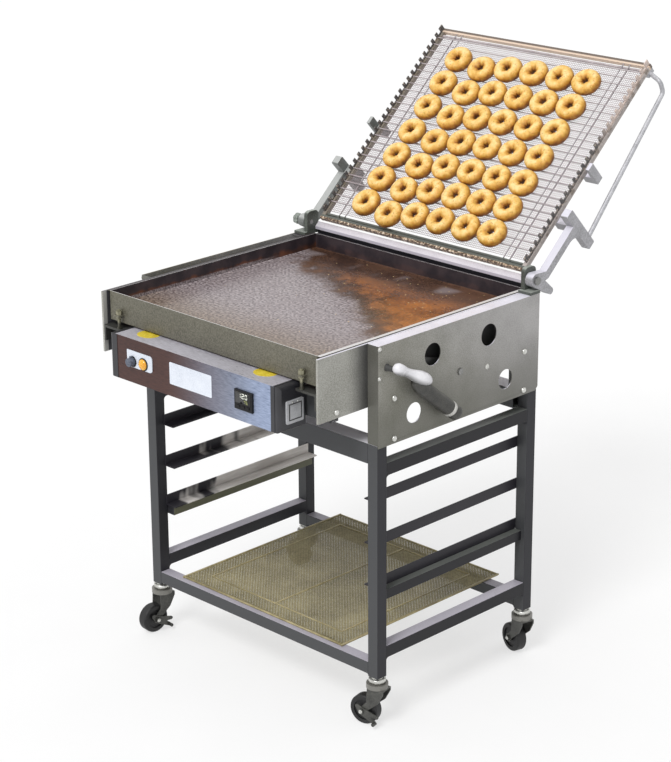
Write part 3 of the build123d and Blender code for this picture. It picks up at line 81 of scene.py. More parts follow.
class Look:
    """A material of one Principled shader fed by textures in the object's own metres."""

    def __init__(self, name, rough=0.5, metal=0.0, **sockets):
        self.mat = bpy.data.materials.new(name)
        self.mat.use_nodes = True
        self.tree = self.mat.node_tree
        self.shader = self.tree.nodes["Principled BSDF"]
        self.shader.inputs["Roughness"].default_value = rough
        self.shader.inputs["Metallic"].default_value = metal
        for key, value in sockets.items():
            self.shader.inputs[key.replace("_", " ")].default_value = value
        self.place = self.node("ShaderNodeTexCoord").outputs["Object"]

    def node(self, kind, **settings):
        made = self.tree.nodes.new(kind)
        for key, value in settings.items():
            setattr(made, key, value)
        return made

    def put(self, socket, value):
        """Links a socket, or sets a plain number or colour."""
        if isinstance(value, bpy.types.NodeSocket):
            self.tree.links.new(value, socket)
        else:
            socket.default_value = value

    def noise(self, scale, detail=3.0, stretch=None):
        made = self.node("ShaderNodeTexNoise")
        made.inputs["Scale"].default_value = scale
        made.inputs["Detail"].default_value = detail
        place = self.place
        if stretch:
            shift = self.node("ShaderNodeMapping")
            shift.inputs["Scale"].default_value = stretch
            self.put(shift.inputs["Vector"], place)
            place = shift.outputs["Vector"]
        self.put(made.inputs["Vector"], place)
        return made.outputs["Fac"]

    def part_of(self, vector, letter):
        split = self.node("ShaderNodeSeparateXYZ")
        self.put(split.inputs[0], vector)
        return split.outputs[letter]

    def axis(self, letter):
        """Place along one axis."""
        return self.part_of(self.place, letter)

    def facing(self, letter):
        """How far a face turns towards one axis."""
        return self.part_of(self.node("ShaderNodeTexCoord").outputs["Normal"], letter)

    def stored(self, name):
        return self.node("ShaderNodeAttribute", attribute_name=name).outputs["Fac"]

    def math(self, operation, a, b=0.0):
        made = self.node("ShaderNodeMath", operation=operation)
        self.put(made.inputs[0], a)
        self.put(made.inputs[1], b)
        return made.outputs[0]

    def plus(self, a, b):
        return self.math("ADD", a, b)

    def minus(self, a, b):
        return self.math("SUBTRACT", a, b)

    def times(self, a, b):
        return self.math("MULTIPLY", a, b)

    def step(self, value, low, high, start=0.0, end=1.0):
        made = self.node("ShaderNodeMapRange", interpolation_type="SMOOTHSTEP")
        self.put(made.inputs["Value"], value)
        for key, number in (("From Min", low), ("From Max", high), ("To Min", start), ("To Max", end)):
            made.inputs[key].default_value = number
        return made.outputs["Result"]

    def band(self, value, rise, fall):
        """One between the rise and the fall, zero outside."""
        return self.times(self.step(value, *rise), self.step(value, *fall, 1, 0))

    def halves(self, left=0.0, right=1.0):
        """Changes from the left half of the part to the right half."""
        return self.step(self.axis("X"), *MIDDLE_X, left, right)

    def upper(self, low, high, end=1.0):
        """Picks the faces that look up."""
        return self.step(self.facing("Z"), low, high, 0, end)

    def blend(self, a, b, share):
        """Weighted sum of two textures, share of the second."""
        return self.plus(self.times(a, 1 - share), self.times(b, share))

    def ramp(self, value, *stops):
        made = self.node("ShaderNodeValToRGB")
        points = made.color_ramp.elements
        while len(points) < len(stops):
            points.new(0.5)
        for point, (place, colour) in zip(points, stops):
            point.position = place
            point.color = colour
        self.put(made.inputs["Fac"], value)
        return made.outputs["Color"]

    def tones(self, value, low, high, start=0.36, end=0.64):
        return self.ramp(value, (start, low), (end, high))

    def mix(self, share, a, b):
        made = self.node("ShaderNodeMix", data_type="RGBA")
        self.put(made.inputs["Factor"], share)
        self.put(made.inputs[6], a)
        self.put(made.inputs[7], b)
        return made.outputs[2]

    def paint(self, colour):
        self.put(self.shader.inputs["Base Color"], colour)
        return self

    def polish(self, value, low, high):
        self.put(self.shader.inputs["Roughness"], self.step(value, 0.3, 0.7, low, high))
        return self

    def relief(self, value, strength, depth=0.0005):
        made = self.node("ShaderNodeBump")
        made.inputs["Strength"].default_value = strength
        made.inputs["Distance"].default_value = depth
        self.put(made.inputs["Height"], value)
        self.put(self.shader.inputs["Normal"], made.outputs["Normal"])
        return self


def mottled(name, low, high, rough, metal=0.0, grain=420, patch=7, share=0.5,
            stretch=None, bump=0.06, spread=0.1, **sockets):
    """Grain over broad patches between two tones, with the roughness and relief to go with it."""
    look = Look(name, rough, metal, **sockets)
    look.fine = look.noise(grain, 2.0, stretch)
    look.value = look.blend(look.fine, look.noise(patch, 4.0), share)
    look.colour = look.tones(look.value, low, high)
    look.polish(look.value, rough - spread, rough + spread)
    look.relief(look.fine, bump)
    return look.paint(look.colour)


# Tube paint with painted light: lighter tops, paler front faces, painted shade on the outer faces of the right
# rails, a painted olive highlight on the inner face of the left flat tube
paint = mottled("frame_paint", tone(29, 29, 34), tone(47, 47, 52), 0.45,
                grain=700, patch=5, share=0.35, bump=0.1, Specular_IOR_Level=0.3)
front_light_share = paint.step(paint.facing("Y"), -0.9, -0.5, 0.3, 0)
side_light_and_shade = paint.mix(front_light_share, paint.colour, tone(104, 106, 106))
between_legs = paint.step(paint.math("ABSOLUTE", paint.axis("Y")), *LEG_INNER_Y, 1, 0)
outward = paint.times(between_legs, paint.step(paint.facing("X"), 0.5, 0.9))
right_rail_shade = paint.times(outward, paint.step(paint.axis("X"), *RIGHT_RAIL_X, 0, 0.7))
left_tube_highlight = paint.times(outward, paint.step(paint.axis("X"), *LEFT_TUBE_X, 0.8, 0))
left_tube_highlight = paint.times(left_tube_highlight, paint.band(paint.axis("Z"), *FLAT_TUBE_Z))
side_light_and_shade = paint.mix(right_rail_shade, side_light_and_shade, tone(17, 16, 20))
side_light_and_shade = paint.mix(left_tube_highlight, side_light_and_shade, tone(112, 113, 92))
# Painted light on the upward faces: lavender outside the ledge band, dimmer within it, near white high up
low_top_light = paint.tones(paint.value, tone(156, 152, 162), tone(186, 182, 192))
ledge_top_light = paint.tones(paint.value, tone(88, 91, 88), tone(112, 115, 111))
paint_top_light = paint.mix(paint.band(paint.axis("Z"), *LEDGES_Z), low_top_light, ledge_top_light)
paint_top_light = paint.mix(paint.step(paint.axis("Z"), *LEDGES_Z[1]), paint_top_light, tone(238, 236, 242))
paint.paint(paint.mix(paint.upper(0.6, 0.9), side_light_and_shade, paint_top_light))

# Ledges: dark in front; further back on the inner faces of the left ones, bare metal with a painted bright
# reflection
bare = mottled("bright_ledge", tone(28, 27, 33), tone(47, 45, 51), 0.4,
               grain=700, patch=5, share=0.35, Specular_IOR_Level=0.3)
slant = bare.minus(bare.axis("Y"), bare.times(bare.axis("Z"), 0.8))
ragged = bare.times(bare.minus(bare.noise(17, 2.0, (0.4, 1, 0.4)), 0.5), 0.42)
reflection_share = bare.step(bare.plus(slant, ragged), *LEDGE_SHINE_FROM)
left_inner = bare.times(bare.halves(1, 0), bare.step(bare.facing("X"), -0.6, -0.3))
painted_reflection = bare.tones(bare.noise(60, 3.0, (1, 0.12, 1)), tone(192, 187, 182), tone(230, 226, 222), 0.35, 0.65)
bare.paint(bare.mix(bare.times(reflection_share, left_inner), bare.colour, painted_reflection))

# Outer plates with painted light: lighter to the upper back, painted shade on the front faces and towards the
# foot, a painted highlight on the top edge with painted shade on the left plate's outer top
plate = mottled("plate_steel", tone(117, 116, 106), tone(168, 166, 161), 0.45, 0.2,
                grain=330, patch=11, bump=0.14)
along = plate.step(plate.plus(plate.axis("Y"), plate.times(plate.axis("Z"), 0.9)), *PLATE_LIT)
plate_shaded = plate.mix(0.25, plate.colour, tone(112, 112, 92))
plate_lit = plate.mix(0.3, plate.colour, tone(186, 184, 192))
plate_light_and_shade = plate.mix(along, plate_shaded, plate_lit)
plate_light_and_shade = plate.mix(plate.step(plate.facing("Y"), -0.8, -0.4, 0.6, 0), plate_light_and_shade, tone(56, 56, 52))
plate_light_and_shade = plate.mix(plate.step(plate.axis("Z"), *PLATE_FOOT_Z, 0.6, 0), plate_light_and_shade, tone(80, 80, 71))
right_top_light = plate.tones(plate.value, tone(214, 212, 222), tone(234, 232, 242))
left_top_light_and_shade = plate.mix(plate.step(plate.axis("X"), *LEFT_PLATE_X, 1, 0), tone(60, 56, 60), tone(214, 206, 184))
plate_top_light = plate.mix(plate.halves(), left_top_light_and_shade, right_top_light)
plate.paint(plate.mix(plate.upper(0.5, 0.8), plate_light_and_shade, plate_top_light))

# Inner plates: light nose; painted shade further back between tank and outer plate, and on the inner face of
# the left one with a painted highlight on its front edge; painted light and shade on the tops
inner_plate = mottled("inner_steel", tone(132, 132, 124), tone(176, 175, 169), 0.45, 0.2,
                      grain=330, patch=9, share=0.4, bump=0.12)
deep = inner_plate.step(inner_plate.axis("Y"), *NOSE_DEPTH_Y, 0, 0.85)
nose = inner_plate.mix(deep, inner_plate.colour, tone(40, 40, 44))
right_hand = inner_plate.halves()
left_inner_shade = inner_plate.step(inner_plate.facing("X"), 0.3, 0.7, 0, 0.9)
left_inner_shade = inner_plate.times(left_inner_shade, inner_plate.minus(1.0, right_hand))
front_edge_highlight = inner_plate.step(inner_plate.axis("Y"), *NOSE_STRIP_Y, 1, 0)
shade_and_highlight_tone = inner_plate.mix(front_edge_highlight, tone(62, 62, 70), tone(188, 187, 184))
nose = inner_plate.mix(left_inner_shade, nose, shade_and_highlight_tone)
inner_top_light = inner_plate.mix(right_hand, tone(60, 56, 60), tone(222, 220, 230))
inner_plate.paint(inner_plate.mix(inner_plate.upper(0.5, 0.8), nose, inner_top_light))

# Tank: olive steel outside; inside, painted shade on the walls with chocolate stains, and a film of icing on
# the left wall in the icing's painted sheen; a painted highlight on the top rim, painted shade on its left and
# back
tank = mottled("tank_steel", tone(78, 76, 64), tone(117, 114, 101), 0.46, 0.2,
               grain=300, patch=6, share=0.35, bump=0.14)
within = tank.times(tank.step(tank.math("ABSOLUTE", tank.axis("X")), *TANK_INNER_X, 1, 0),
                    tank.band(tank.axis("Y"), *TANK_INNER_Y))
drips = tank.noise(22, 3.0, (1, 1, 0.9))
stain = tank.step(tank.plus(tank.axis("Z"), tank.times(drips, -0.026)), *STAIN_Z, 1, 0)
stain = tank.times(stain, tank.step(tank.facing("Y"), -0.8, -0.4, 0.15, 1))
# Painted shade on the inner walls
wall = tank.tones(drips, tone(44, 38, 44), tone(66, 56, 60), 0.4, 0.62)
wall = tank.mix(stain, wall, tank.tones(drips, tone(66, 42, 34), tone(112, 70, 50), 0.4, 0.6))
film = tank.step(tank.plus(tank.axis("Z"), tank.times(drips, -0.008)), *FILM_Z, 1, 0)
left_wall = tank.times(tank.step(tank.facing("X"), 0.5, 0.8), tank.step(tank.axis("Y"), *FILM_END_Y, 1, 0))
film_sheen = tank.tones(tank.fine, tone(98, 88, 91), tone(170, 160, 162), 0.38, 0.62)
wall = tank.mix(tank.times(film, left_wall), wall, film_sheen)
rim_highlight = tank.times(tank.upper(0.5, 0.8), tank.step(tank.axis("Z"), *TANK_RIM_Z))
rim_shade = tank.math("MAXIMUM", tank.step(tank.axis("X"), *TANK_LEFT_X, 1, 0),
                     tank.step(tank.axis("Y"), *TANK_INNER_Y[1]))
rim_light_and_shade = tank.mix(rim_shade, tone(210, 208, 208), tone(62, 55, 58))
tank.paint(tank.mix(rim_highlight, tank.mix(within, tank.colour, wall), rim_light_and_shade))

zinc = mottled("zinc", tone(178, 178, 172), tone(226, 226, 222), 0.28, 0.85, grain=600, patch=60, bump=0.05)
studs = mottled("stud_steel", tone(108, 106, 86), tone(168, 164, 140), 0.4, 0.4, grain=600, patch=60, bump=0.08)
# Painted shade on the lower part of the levelling screws
studs.paint(studs.mix(studs.step(studs.axis("Z"), *STUD_FOOT_Z, 0.8, 0), studs.colour, tone(44, 43, 42)))
brackets = mottled("bracket_steel", tone(52, 52, 50), tone(84, 84, 80), 0.5, 0.4, grain=330, patch=20, bump=0.1)
posts = mottled("post_steel", tone(54, 54, 54), tone(80, 80, 78), 0.5, 0.3, grain=330, patch=20, bump=0.1)

# Control box: brushed, with a painted reflection, maroon to the left and blue to the right, and painted light
# on top
box = mottled("box_steel", tone(112, 121, 140), tone(150, 158, 177), 0.36, 0.35,
              patch=5, share=0.4, stretch=(0.15, 1, 1))
maroon_reflection = box.tones(box.value, tone(54, 32, 30), tone(78, 50, 44))
blue_reflection = box.tones(box.value, tone(120, 133, 160), tone(158, 171, 199))
face = box.mix(box.step(box.axis("X"), *BOX_COOL_X), box.colour, blue_reflection)
face = box.mix(box.step(box.axis("X"), *BOX_WARM_X), maroon_reflection, face)
box_top_light = box.tones(box.value, tone(178, 176, 184), tone(212, 210, 220))
box.paint(box.mix(box.upper(0.4, 0.9), face, box_top_light))

caps = mottled("box_end_paint", tone(34, 34, 38), tone(52, 52, 56), 0.38, grain=600, patch=14, bump=0.08)
cover = mottled("grey_cover", tone(152, 153, 156), tone(184, 185, 188), 0.45, grain=500, patch=40, bump=0.08)
white = mottled("white_plate", tone(200, 206, 217), tone(218, 223, 232), 0.35, grain=400, patch=25, bump=0.03)
amber = Look("amber_lens", 0.16, Coat_Weight=0.6, Coat_Roughness=0.08)
glow = amber.noise(260, 2.0)
amber.paint(amber.tones(glow, tone(206, 132, 16), tone(242, 186, 46), 0.35, 0.65)).relief(glow, 0.15)
black = mottled("black_plastic", tone(14, 14, 16), tone(28, 28, 30), 0.5,
                grain=900, patch=30, bump=0.12, Specular_IOR_Level=0.25)
rubber = mottled("grip_rubber", tone(46, 46, 44), tone(80, 79, 74), 0.42, grain=500, patch=45, bump=0.2)
# Painted highlight on the upward faces of the grip
rubber.paint(rubber.mix(rubber.upper(0.55, 0.95, 0.55), rubber.colour, tone(134, 133, 126)))
ferrule = mottled("grip_ferrule", tone(150, 149, 144), tone(206, 205, 200), 0.4, 0.2,
                  grain=400, patch=50, bump=0.15)
nylon = mottled("nylon", tone(196, 190, 170), tone(214, 210, 192), 0.45, grain=300, patch=30)

# Cast arms: the right one paler than the left, both with painted light on top
cast = mottled("cast_metal", tone(136, 136, 138), tone(178, 177, 182), 0.44, 0.2,
               grain=300, patch=22, share=0.4, bump=0.22)
right_arm = cast.halves()
cast_side = cast.mix(right_arm, cast.mix(0.75, cast.colour, tone(98, 103, 97)), cast.colour)
cast_top_light = cast.mix(right_arm, tone(172, 174, 172), tone(214, 212, 222))
cast.paint(cast.mix(cast.upper(0.3, 0.8), cast_side, cast_top_light))
lug = mottled("lug_metal", tone(60, 64, 60), tone(96, 101, 94), 0.5, 0.2, grain=300, patch=26, bump=0.2)
# Painted light on the upward faces of the lugs
lug.paint(lug.mix(lug.upper(0.5, 0.9), lug.colour, tone(152, 157, 150)))
lock_grey = mottled("lock_knob_metal", tone(106, 112, 106), tone(152, 159, 152), 0.45, 0.2,
                    grain=300, patch=60, bump=0.15)
knob_blue = mottled("switch_knob_plastic", tone(66, 72, 86), tone(98, 104, 118), 0.3,
                    grain=600, patch=60, bump=0.08)
lever_white = mottled("lever_metal", tone(214, 213, 218), tone(240, 239, 242), 0.3,
                      grain=120, patch=18, share=0.8, bump=0.015, Coat_Weight=0.3)
# Painted shade on the underside of the arm
underside_shade = lever_white.step(lever_white.facing("Z"), -0.75, 0.0, 0.8, 0)
lever_white.paint(lever_white.mix(underside_shade, lever_white.colour, tone(84, 84, 82)))
shaft = mottled("shaft_steel", tone(112, 112, 110), tone(150, 150, 148), 0.35, 0.8, grain=500, patch=40)
tie = mottled("bar_alloy", tone(202, 197, 204), tone(226, 221, 228), 0.4, 0.2, patch=14, bump=0.08)
# Painted light and shade: the faces that do not look up a little darker, painted shade on the low front edge
tie_light_and_shade = tie.mix(tie.upper(0.2, 0.6), tone(198, 194, 206), tie.colour)
tie.paint(tie.mix(tie.step(tie.axis("Z"), *TIE_EDGE_Z), tone(40, 38, 46), tie_light_and_shade))
heater = mottled("heater_alloy", tone(120, 120, 120), tone(150, 150, 150), 0.5, 0.6)


def up_rack(look):
    """Distance along the rack, in metres, from the line of its bottom wires."""
    cos, sin = math.cos(RACK_TILT), math.sin(RACK_TILT)
    foot = (RACK_FOOT[1] * cos + RACK_FOOT[2] * sin) * MM
    return look.minus(look.plus(look.times(look.axis("Y"), cos), look.times(look.axis("Z"), sin)), foot)


# Rack: worn side rails, darker on the left, a crusted low rail, a tan high rail, dark combs with pale flecks
# and a painted highlight on the upper teeth of the right comb
rail = mottled("rail_wire", tone(142, 134, 130), tone(186, 177, 172), 0.45, 0.1, grain=260, patch=30, bump=0.2)
burn = rail.step(rail.noise(46, 3.0), 0.54, 0.66, 0, 0.6)
worn_darker_left = rail.mix(burn, rail.colour, tone(96, 80, 62))
worn_darker_left = rail.mix(rail.halves(0.65, 0), worn_darker_left, tone(104, 95, 76))
reach = up_rack(rail)
baked_on = rail.ramp(rail.noise(150, 3.0), (0.44, tone(74, 54, 40)), (0.56, tone(176, 154, 128)),
                     (0.66, tone(226, 212, 194)))
low_rail = rail.mix(rail.step(reach, *RAIL_LOW), baked_on, tone(86, 90, 84))
high_rail = rail.mix(rail.step(reach, *RAIL_HIGH), tone(214, 192, 172), tone(106, 93, 84))
worn_darker_left = rail.mix(rail.step(reach, *RAIL_LOW_END), low_rail, worn_darker_left)
rail.paint(rail.mix(rail.step(reach, *RAIL_HIGH_END), worn_darker_left, high_rail))
comb = mottled("comb_steel", tone(62, 61, 63), tone(108, 104, 101), 0.5, 0.2, grain=260, patch=40, bump=0.2)
# Painted highlight on the upper teeth of the right comb
lit_teeth_share = comb.times(comb.step(up_rack(comb), *COMB_PALE, 0, 0.75), comb.halves())
fleck = comb.mix(comb.step(comb.noise(170, 2.0), 0.58, 0.66, 0, 0.7), comb.colour, tone(206, 190, 172))
comb.paint(comb.mix(lit_teeth_share, fleck, tone(224, 206, 196)))
wire = mottled("rack_wire", tone(150, 140, 142), tone(190, 180, 182), 0.42, grain=260, patch=40, bump=0.1)
off_middle = wire.math("ABSOLUTE", wire.axis("X"))
off_rods = [wire.math("ABSOLUTE", wire.minus(off_middle, x)) for x in ROD_X]
rods = wire.math("MAXIMUM", *(wire.step(off, *ROD_EDGE, 1, 0) for off in off_rods))
wire_tone = wire.mix(rods, wire.colour, tone(150, 142, 145))
wire.paint(wire.mix(wire.step(up_rack(wire), *WIRE_FOOT, 1, 0), wire_tone, tone(92, 95, 89)))
cloth = mottled("rack_cloth", tone(152, 135, 139), tone(188, 171, 176), 0.5, grain=300, patch=16, bump=0.05)
bail = mottled("bail_wire", tone(150, 150, 154), tone(192, 192, 196), 0.38, 0.1, grain=260, patch=30, bump=0.1)

fork = mottled("fork_zinc", tone(54, 54, 52), tone(92, 92, 88), 0.4, 0.4, grain=500, patch=34, bump=0.08)
fork.paint(fork.mix(fork.step(fork.axis("Z"), *FORK_CROWN_Z, 0, 0.55), fork.colour, tone(150, 148, 142)))
tyre = mottled("tyre", tone(16, 16, 17), tone(32, 32, 33), 0.55, grain=600, patch=30, bump=0.15)
screen_wire = mottled("screen_wire", tone(126, 118, 86), tone(168, 158, 122), 0.45,
                      grain=120, patch=9, share=0.6, bump=0.05)
screen_bar = mottled("screen_bar", tone(132, 121, 82), tone(176, 164, 124), 0.45,
                     grain=120, patch=20, share=0.6, bump=0.05)
yellow = mottled("yellow_oval", tone(196, 172, 36), tone(226, 204, 70), 0.5, grain=300, patch=60, bump=0.03)
ink = mottled("pale_figures", tone(226, 230, 214), tone(246, 248, 238), 0.4, grain=300, patch=60)
dim_ink = mottled("dim_figures", tone(150, 156, 96), tone(176, 180, 120), 0.4, grain=300, patch=60)
glass = mottled("display_window", tone(12, 13, 14), tone(22, 23, 24), 0.14,
                grain=300, patch=20, bump=0.02, spread=0.04)

# Icing: a painted grey sheen in front, tan towards the front edge, wet brown towards the back right with a
# painted orange reflection of the donuts, and a painted glare near the back wall
icing = Look("chocolate", 0.26, IOR=1.45, Specular_IOR_Level=0.3)
swirl = icing.blend(icing.noise(7, 5.0), icing.noise(40, 3.0), 0.3)
grain = icing.noise(150, 4.0)
spread = icing.plus(icing.times(icing.axis("X"), 0.5), icing.times(icing.axis("Y"), 0.86))
spread = icing.plus(spread, icing.times(icing.minus(swirl, 0.5), 0.28))
# Painted sheen on the icing, turning tan towards the front edge
painted_sheen = icing.tones(grain, tone(98, 88, 91), tone(170, 160, 162), 0.38, 0.62)
tan = icing.tones(grain, tone(82, 67, 56), tone(144, 125, 106), 0.38, 0.62)
painted_sheen = icing.mix(icing.step(icing.axis("Y"), *ICING_TAN_Y), tan, painted_sheen)
brown = icing.tones(icing.blend(swirl, grain, 0.4), tone(50, 33, 26), tone(98, 70, 54), 0.4, 0.62)
orange_reflection = icing.ramp(icing.blend(swirl, grain, 0.4), (0.36, tone(72, 40, 20)), (0.5, tone(136, 80, 34)),
                    (0.64, tone(192, 122, 56)))
wet_with_orange_reflection = icing.mix(icing.step(icing.axis("Y"), *ICING_DEEP_Y), orange_reflection, brown)
wet_and_reflections = icing.mix(icing.step(spread, *ICING_ORANGE), brown, wet_with_orange_reflection)
# Painted glare near the back wall
glare = icing.band(icing.axis("Y"), *ICING_GLARE_Y)
glare = icing.times(glare, icing.step(icing.noise(8, 2.0, (1, 0.3, 1)), 0.48, 0.6, 0, 0.6))
wet_and_reflections = icing.mix(glare, wet_and_reflections, tone(146, 136, 138))
icing.paint(icing.mix(icing.step(spread, *ICING_WET), painted_sheen, wet_and_reflections))
icing.polish(swirl, 0.2, 0.34).relief(grain, 0.22, 0.0006)

# Dough: from pale to dark brown by a stored value of fried colour with painted light and shade
dough = Look("fried_dough", 0.55, Subsurface_Weight=0.12, Subsurface_Scale=0.006)
crust = dough.stored("crust")
speck = dough.noise(190, 4.0)
baked = dough.plus(crust, dough.times(dough.minus(dough.noise(70, 4.0), 0.5), 0.95))
gold = dough.ramp(baked, (0.0, tone(238, 206, 141)), (0.24, tone(223, 179, 93)), (0.48, tone(200, 147, 56)),
                  (0.74, tone(162, 105, 37)), (1.0, tone(106, 62, 25)))
dough.paint(dough.mix(dough.step(speck, 0.56, 0.7, 0, 0.55), gold, tone(158, 104, 42)))
dough.polish(speck, 0.42, 0.64).relief(speck, 0.35, 0.0009)
crumb = mottled("crumb", tone(206, 172, 116), tone(236, 212, 164), 0.6, grain=900, patch=200)

DRESS = {
    paint: ["legs", "side_rails", "lower_cross_rails", "upper_cross_rails", "ledge_tubes", "cross_member"],
    bare: ["ledge_angles"],
    plate: ["side_plate_left", "side_plate_right"],
    inner_plate: ["inner_plate_left", "inner_plate_right"],
    tank: ["tank", "lift_rails"],
    zinc: ["plate_bolts", "caster_sockets"],
    studs: ["levelling_screws"],
    brackets: ["rest_brackets"],
    posts: ["head_posts", "link"],
    box: ["control_box"],
    caps: ["box_ends"],
    cover: ["end_cover"],
    white: ["switch_plate", "blank_plate"],
    amber: ["lamp_lens"],
    black: ["controller", "key_down", "key_up", "key_set", "control_chassis", "cord_gland"],
    knob_blue: ["switch_knob"],
    lock_grey: ["lock_knob"],
    rubber: ["lever_grip"],
    nylon: ["tank_guides"],
    cast: ["rack_arms", "rack_blocks"],
    lug: ["pivot_lugs"],
    lever_white: ["lever"],
    shaft: ["pivot_pins", "lift_shaft"],
    tie: ["rear_tie_bar"],
    heater: ["heater"],
    icing: ["icing"],
    rail: ["rack_rails"],
    comb: ["combs"],
    wire: ["wire_grid"],
    bail: ["bail_rod"],
    dough: ["donuts"],
    fork: [n for n in nodes if n.startswith(("fork_", "brake_"))],
    tyre: [n for n in nodes if n.startswith("wheel_")],
    screen_wire: ["shelf_screen"],
}
for look, names in DRESS.items():
    for name in names:
        shown = nodes[name]
        if not shown.material_slots:
            shown.data.materials.append(look.mat)
        for place in shown.material_slots:
            place.material = look.mat

# Edges taken off the solids, by width in metres
WELD_REACH = 0.00002
EASE_FROM_ANGLE = math.radians(35)
EASED = {
    0.0012: ["legs", "side_rails", "lower_cross_rails", "upper_cross_rails", "cross_member", "rack_blocks"],
    0.0006: ["ledge_angles", "ledge_tubes", "side_plate_left", "side_plate_right", "inner_plate_left",
             "inner_plate_right", "tank", "control_box", "rest_brackets", "pivot_lugs", "rear_tie_bar"],
}
for width, names in EASED.items():
    for name in names:
        weld = nodes[name].modifiers.new("weld", "WELD")
        weld.merge_threshold = WELD_REACH
        ease = nodes[name].modifiers.new("ease", "BEVEL")
        ease.width = width
        ease.segments = 2
        ease.limit_method = "ANGLE"
        ease.angle_limit = EASE_FROM_ANGLE


# ---------------------------------------------------------------- pieces
class Shape:
    """Vertices and faces of one piece, in millimetres."""

    def __init__(self, place=None):
        self.verts, self.faces = [], []
        self.place = place or Matrix.Identity(4)

    def rings(self, rows, loop=False):
        """Joins rows of points, each row a closed ring, and closes both ends unless the rows make a loop."""
        start, count = len(self.verts), len(rows[0])
        for row in rows:
            self.verts += [self.place @ Vector(p) for p in row]
        pairs = len(rows) if loop else len(rows) - 1
        for i in range(pairs):
            a, b = start + i * count, start + (i + 1) % len(rows) * count
            for k in range(count):
                n = (k + 1) % count
                self.faces.append((a + k, a + n, b + n, b + k))
        if not loop:
            self.faces.append(tuple(start + k for k in reversed(range(count))))
            last = start + (len(rows) - 1) * count
            self.faces.append(tuple(last + k for k in range(count)))

    def lathe(self, origin, axis, profile, sides=24):
        """Turned form: the profile is pairs of distance along the axis and radius."""
        along = Vector(axis).normalized()
        u = along.orthogonal().normalized()
        v = along.cross(u)
        origin = Vector(origin)
        self.rings([
            [origin + along * d + (u * math.cos(t) + v * math.sin(t)) * max(r, 0.01)
             for t in (FULL_TURN * k / sides for k in range(sides))]
            for d, r in profile
        ])

    def wire(self, points, radius, sides=4):
        """Round wire through nearly straight points."""
        points = [Vector(p) for p in points]
        along = (points[-1] - points[0]).normalized()
        u = along.orthogonal().normalized()
        v = along.cross(u)
        self.rings([
            [p + (u * math.cos(t) + v * math.sin(t)) * radius
             for t in (FULL_TURN * (k + 0.5) / sides for k in range(sides))]
            for p in points
        ])

    def block(self, x, y, z):
        """Flat bar with its edges taken off."""
        e = min(abs(x[1] - x[0]), abs(y[1] - y[0]), abs(z[1] - z[0])) * 0.25
        x, y, z = sorted(x), sorted(y), sorted(z)

        def row(d, height):
            return [(x[0] + d, y[0] + d, height), (x[1] - d, y[0] + d, height),
                    (x[1] - d, y[1] - d, height), (x[0] + d, y[1] - d, height)]

        self.rings([row(e, z[0]), row(0, z[0] + e), row(0, z[1] - e), row(e, z[1])])

    def make(self, name, body, look, smooth=True):
        mesh = bpy.data.meshes.new(name)
        mesh.from_pydata([tuple(v * MM) for v in self.verts], [], self.faces)
        mesh.update()
        mesh.polygons.foreach_set("use_smooth", [smooth] * len(mesh.polygons))
        mesh.materials.append(look.mat)
        made = bpy.data.objects.new(name, mesh)
        scene.collection.objects.link(made)
        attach(made, body)
        return made


# Rack coordinates: X, along the rack from the line of its bottom wires, and out of its face
RACK = Matrix.Translation(RACK_FOOT) @ Matrix.Rotation(RACK_TILT, 4, "X")
RAIL_IN = 343.0
DONUT_REST = 9.2
DONUT_RING, DONUT_TUBE, DONUT_HALF_HEIGHT = 23.6, 15.8, 16.0
DONUT_AROUND, DONUT_SECTION = 44, 22
DONUT_COLUMNS = (-217.0, -124.0, -40.0, 46.0, 133.0, 219.0)
DONUT_DROP = (0.0, -17.0, -3.0, 0.0, -1.0, 2.0)
DONUT_ROWS = (45.0, 124.0, 203.0, 284.0, 366.0, 448.0, 529.0)
CREASE_AT, CREASE_WIDTH, CREASE_DEPTH = 2.2, 0.22, 1.5

dice = random.Random(7)
crusts = []


